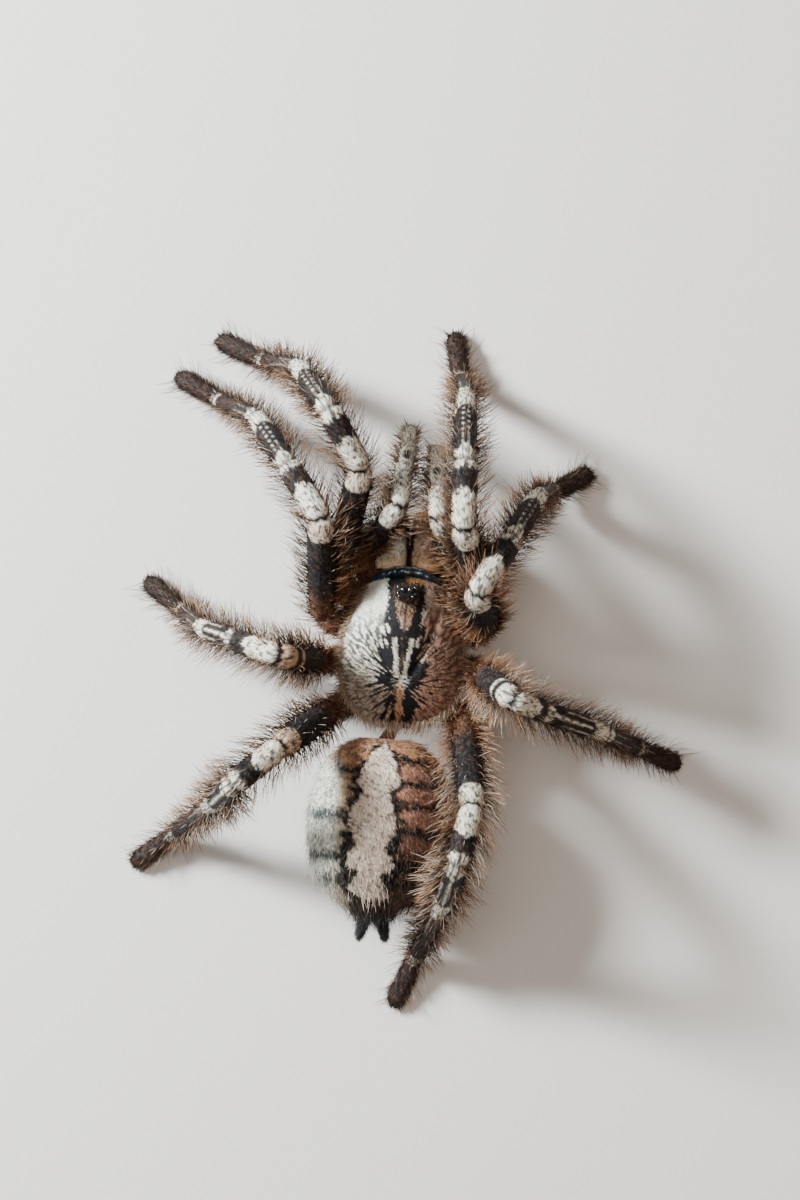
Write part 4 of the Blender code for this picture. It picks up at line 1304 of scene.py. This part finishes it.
def abdomenColour(points):
    # worked out in the share of the length and the distance to the left: a leaf mark in a dark border,
    # barred flanks that are white with painted light on the left and pinkish brown with painted shade on the
    # right, a golden front and a brown belly
    look = abdomenLook
    p = points - frontEnd
    v = (p @ abdomenAxis) / np.linalg.norm(rearEnd - frontEnd)
    x = p @ abdomenSide
    z = p[:, 2]
    fine = ripple(points * np.array([1, 0.55, 1]), 0.42, 51)
    mid = ripple(points, 1.6, 52)
    above = soft(z + 0.7 * mid + 0.5 * fine, -2.2, 5.0)
    broad = ripple(points, 5.0, 53)
    size = np.abs(x)
    left = soft(x, 0.0, 1.0)
    leafAt, leafHalf, leafMiddle = np.array(look["leaf"]).T
    offset = np.abs(x - np.interp(v, leafAt, leafMiddle))
    edge = np.interp(v, leafAt, leafHalf, 0, 0) + 0.1 * fine + 0.12 * mid
    leaf = soft(edge - offset, 0.0, 0.2)
    # the dark border follows the leaf, and fills its waists with blots
    outer = np.interp(v, look["borderAt"], look["borderHalf"])
    outer = np.maximum(outer + 0.35 * mid, edge + 0.7 + 0.2 * mid)
    border = soft(outer - offset + 0.1 * fine, 0.0, 0.5)
    # golden lobes beside the border; further out, white with painted light on the left and brown with
    # painted shade on the right; a golden front
    outward = soft(size, 6.0, 3.5)
    # painted shade: the right flank's pinkish brown is partly its own tone and partly painted shade, painted
    # brighter near the border and darker towards the rear and the outer edge
    pinkToneAndShade = blend(fawn * np.array([0.98, 0.84, 0.76]), (0.25, 0.125, 0.092), 0.5 + 0.25 * mid)
    pinkToneAndShade = pinkToneAndShade * ((1.2 - 0.9 * soft(v, 0.57, 0.26)) * (1.25 - 0.75 * soft(size, 7.0, 6.0)))[:, None]
    # painted light: the left flank is partly its own pale tone and partly painted light, lifted further
    # towards the rear where a leg's shadow falls
    sunny = blend(cream, sage, 0.25)
    sunny = blend(sunny, white, np.clip(0.2 + 0.6 * outward, 0, 0.85))
    sunny = sunny * (1 + 0.12 * outward * soft(v, 0.4, 0.2))[:, None]
    flank = blend(pinkToneAndShade, sunny, left * np.clip(0.2 + 0.9 * outward + 0.5 * soft(v, 0.2, 0.1), 0, 1))
    lobes = left * 0.75 * hump(size, 5.2, 1.4) * (1 - 0.6 * soft(v, 0.5, 0.3))
    flank = blend(flank, gold * 1.2, lobes)
    front = blend(gold * 1.5, fawn * 2.0, 0.5 + 0.4 * mid)
    front = blend(front, brown, 0.75 * soft(mid + 0.5 * fine - 0.5 * hump(v, 0.03, 0.05), 0.4, 1.0))
    flank = blend(flank, front, (1 - soft(v, 0.15, 0.1)) * 0.8)
    flank = blend(flank, brown, 0.05 * broad + 0.7 * soft(fine, 1.0, 0.5))
    bars = np.zeros(len(v))
    for sign, name in ((1, "leftBars"), (-1, "rightBars")):
        for bar, reach, thick in look[name]:
            across = (v - bar - 0.0035 * (size - 5) + 0.006 * mid + 0.003 * fine) / thick
            mark = np.exp(-(across**2)) * (1 - soft(size, reach, 2.6)) * (sign * x > 0)
            bars = np.maximum(bars, mark)
    dark = blend(ink, soot, 0.45 + 0.3 * fine)
    # painted sheen: the bars turn slate on the lit left side
    barTone = blend(dark, slateToneAndSheen * 0.8, left * 0.9 * soft(size, 6.4, 2.0))
    pale = blend(cream, blush * 1.1, 0.7 + 0.25 * mid) * 1.35
    pale = blend(pale, brown * 1.4, 0.8 * soft(fine, 0.85, 0.4))
    colour = blend(flank, barTone, 1.15 * bars * (1 + 0.25 * fine))
    framed = border * soft(v, 0.03, 0.04) * (1 - 0.25 * soft(fine, 1.1, 0.4))
    colour = blend(colour, dark, framed)
    colour = blend(colour, pale, leaf)
    colour = blend(colour, dark, soft(v, 0.935, 0.05))
    belly = blend(brown, soot, 0.4 + 0.3 * mid)
    belly = blend(belly, tan, hump(v, 0.42, 0.05) * 0.4)
    return blend(belly, colour, above)


abdomenSurface = abdomenRings(130, 140)
bodySkin("abdomenSkin", abdomenSurface, bodyVelvet, abdomenColour, ["abdomen"],
         (1.6, 0.4, 1.6))
rng = np.random.default_rng(81)
kind = abdomenLook["tufts"]
n = kind["count"]
root, along, normal, uv = scatter(abdomenSurface, n, rng)
shade = abdomenColour(root + along * 0.25) * rng.uniform(0.7, 1.25, (n, 1))
sweep = along + np.array([0, 0.35, -0.1])
joinHairs("abdomenCoat", [sprout((root, sweep, normal, uv), rng, kind, shade, shade * 1.15)])


def rearMore(p):
    # bristles grow low down and towards the rear, and are longer there
    rearward = 0.3 + soft(p[..., 1], frontEnd[1] + 18, 14)
    return rearward * (0.2 + soft(frontEnd[2] + 6 - p[..., 2], 0, 5))


kind = abdomenLook["bristles"]
n = kind["count"]
root, along, normal, uv = scatter(abdomenSurface, n, rng, rearMore)
rearward = soft(root[:, 1], frontEnd[1] + 17, 12)
size = rng.uniform(*kind["length"], n) + rng.uniform(0, 1, n) ** 2 * (0.8 + 2.2 * rearward)
tint = blend(abdomenColour(root + along), brown, np.full(n, 0.25))
rearLean = np.array([0, 0.3, 0])
abdomenBristles = [sprout((root, along + rearLean, normal, uv), rng, kind, tint * 0.55, tint, length=size)]
# a thin layer of longer fur that softens the outline
kind = abdomenLook["fur"]
n = kind["count"]
upperSide = lambda p: (p[..., 2] > frontEnd[2] - 3) * 1.0
root, along, normal, uv = scatter(abdomenSurface, n, rng, upperSide)
shade = blend(abdomenColour(root + along * 0.4), cream, rng.uniform(0, 0.25, n))
abdomenBristles.append(sprout((root, along + rearLean, normal, uv), rng, kind, shade * 0.8, shade * 1.1))
# a dark tuft at the tip, over the base of the spinnerets
kind = abdomenLook["rearTuft"]
n = kind["count"]
atTip = lambda p: soft(p[..., 1], rearEnd[1] - 1.6, 1.0) * (p[..., 2] > rearEnd[2] - 3)
place = scatter(abdomenSurface, n, rng, atTip)
shade = blend(soot, slateToneAndSheen, rng.uniform(0, 1, n) ** 2)
sweep = unit(rearEnd - frontEnd + np.array([0, 0, -4.0])) + rng.normal(size=(n, 3)) * kind["spread"]
abdomenBristles.append(sprout(place, rng, kind, shade * 0.7, shade, unit(sweep)))
joinHairs("abdomenBristles", abdomenBristles)

# Spinnerets
spinLook = {
    "at": (0, 0.1, 0.36, 0.7, 0.92, 1.0),
    "girth": (0.58, 0.68, 0.68, 0.58, 0.42, 0.2),
    "folds": (0.38, 0.7),  # shares of the length at which it narrows
    "hairs": hairKind(1500, (0.6, 1.4), 0.1, (0.2, 0.8), 0.1),
}


def spinRings(centre, axis, lo, hi):
    # a straight tube along the solid's axis; each fold is a narrow bell taken off the girth
    s = np.linspace(0, 1, 30)[:, None]
    cross = unit(np.cross(axis, np.array([0, 0, 1.0])))
    lift = np.cross(cross, axis)
    girth = np.interp(s[:, 0], spinLook["at"], spinLook["girth"])[:, None]
    girth = girth * (1 - sum(0.12 * np.exp(-(((s - fold) / 0.03) ** 2)) for fold in spinLook["folds"]))
    middle = centre + axis * (lo - 0.3 + (hi - lo + 0.25) * s)
    return ovalRing(middle[:, None], cross, lift, girth, girth, fullTurn(20))


kind = spinLook["hairs"]
for side in "lr":
    tubeRings = spinRings(*axisOf(cloudOf("spinneret_" + side), np.array([0, 1.0, 0])))
    bodySkin("spinSkin_" + side, tubeRings, bodyVelvet, plain(soot), ["spinneret_" + side])
    rng = np.random.default_rng(91 + ord(side))
    place = scatter(tubeRings, kind["count"], rng)
    shade = blend(soot, slateToneAndSheen, 0.8 * rng.uniform(0, 1, kind["count"]) ** 2)
    joinHairs("spinCoat_" + side, [sprout(place, rng, kind, shade, shade * 1.3)])
print("abdomen made")

# Camera, light and floor
cameraLook = {
    "elevation": 86.9,
    "turn": 0.5,
    "roll": 3.5,  # the body leans a little to the right
    "distance": 420.0,
    "aim": (0.9, -8.2, 15.0),  # from the middle of the shield
    "lens": 82.8,
}
# place in metres, size, power and colour
lightLook = {
    "keyLight": ((0.52, -0.22, 0.33), 0.14, 21.5, (0.93, 0.98, 1.0)),
    "warmFill": ((-0.45, 0.15, 0.3), 0.4, 0.9, (1.0, 0.62, 0.36)),
    "topLight": ((0.05, -0.05, 0.6), 0.4, 1.9, (1.0, 0.94, 0.9)),
}
roomLook = {"colour": (0.9, 0.92, 0.95, 1), "strength": 0.06, "floor": (0.62, 0.60, 0.57), "roughness": 0.8}


def placeCamera():
    # looks down along a line at the given elevation, then turns about that line by the roll
    look = cameraLook
    e, a, r = np.radians([look["elevation"], look["turn"], look["roll"]])
    ahead = np.array([np.sin(a), -np.cos(a), 0.0])
    view = ahead * np.cos(e) - np.array([0, 0, np.sin(e)])
    up = ahead * np.sin(e) + np.array([0, 0, np.cos(e)])
    right = np.cross(view, up)
    right, up = right * np.cos(r) + up * np.sin(r), up * np.cos(r) - right * np.sin(r)
    at = bodyMid + np.array(look["aim"]) - view * look["distance"]
    camera = bpy.data.objects.new("camera", bpy.data.cameras.new("camera"))
    camera.data.lens = look["lens"]
    camera.data.sensor_width = 36.0
    camera.data.clip_start = 0.01
    turn = Matrix(np.stack([right, up, -view], 1).tolist()).to_4x4()
    camera.matrix_world = Matrix.Translation(Vector((at * mm).tolist())) @ turn
    bpy.context.scene.collection.objects.link(camera)
    bpy.context.scene.camera = camera


def addLight(name, place, size, power, colour):
    # a soft square lamp that faces the shield
    lamp = bpy.data.lights.new(name, "AREA")
    lamp.size = size
    lamp.energy = power
    lamp.color = colour
    holder = bpy.data.objects.new(name, lamp)
    holder.location = place
    aim = Vector((bodyMid * mm).tolist()) - Vector(place)
    holder.rotation_euler = aim.to_track_quat("-Z", "Y").to_euler()
    bpy.context.scene.collection.objects.link(holder)


placeCamera()
for name, settings in lightLook.items():
    addLight(name, *settings)
world = bpy.data.worlds.new("studio")
world.use_nodes = True
background = world.node_tree.nodes["Background"]
background.inputs["Color"].default_value = roomLook["colour"]
background.inputs["Strength"].default_value = roomLook["strength"]
bpy.context.scene.world = world

floorMesh = bpy.data.meshes.new("floor")
floorMesh.from_pydata([(-2, -2, 0), (2, -2, 0), (2, 2, 0), (-2, 2, 0)], [], [(0, 1, 2, 3)])
floor = bpy.data.objects.new("floor", floorMesh)
paleFloor = Sheet("paleFloor", Base_Color=roomLook["floor"], Roughness=roomLook["roughness"])
floorMesh.materials.append(paleFloor.finish)
bpy.context.scene.collection.objects.link(floor)

print("camera and lights placed")
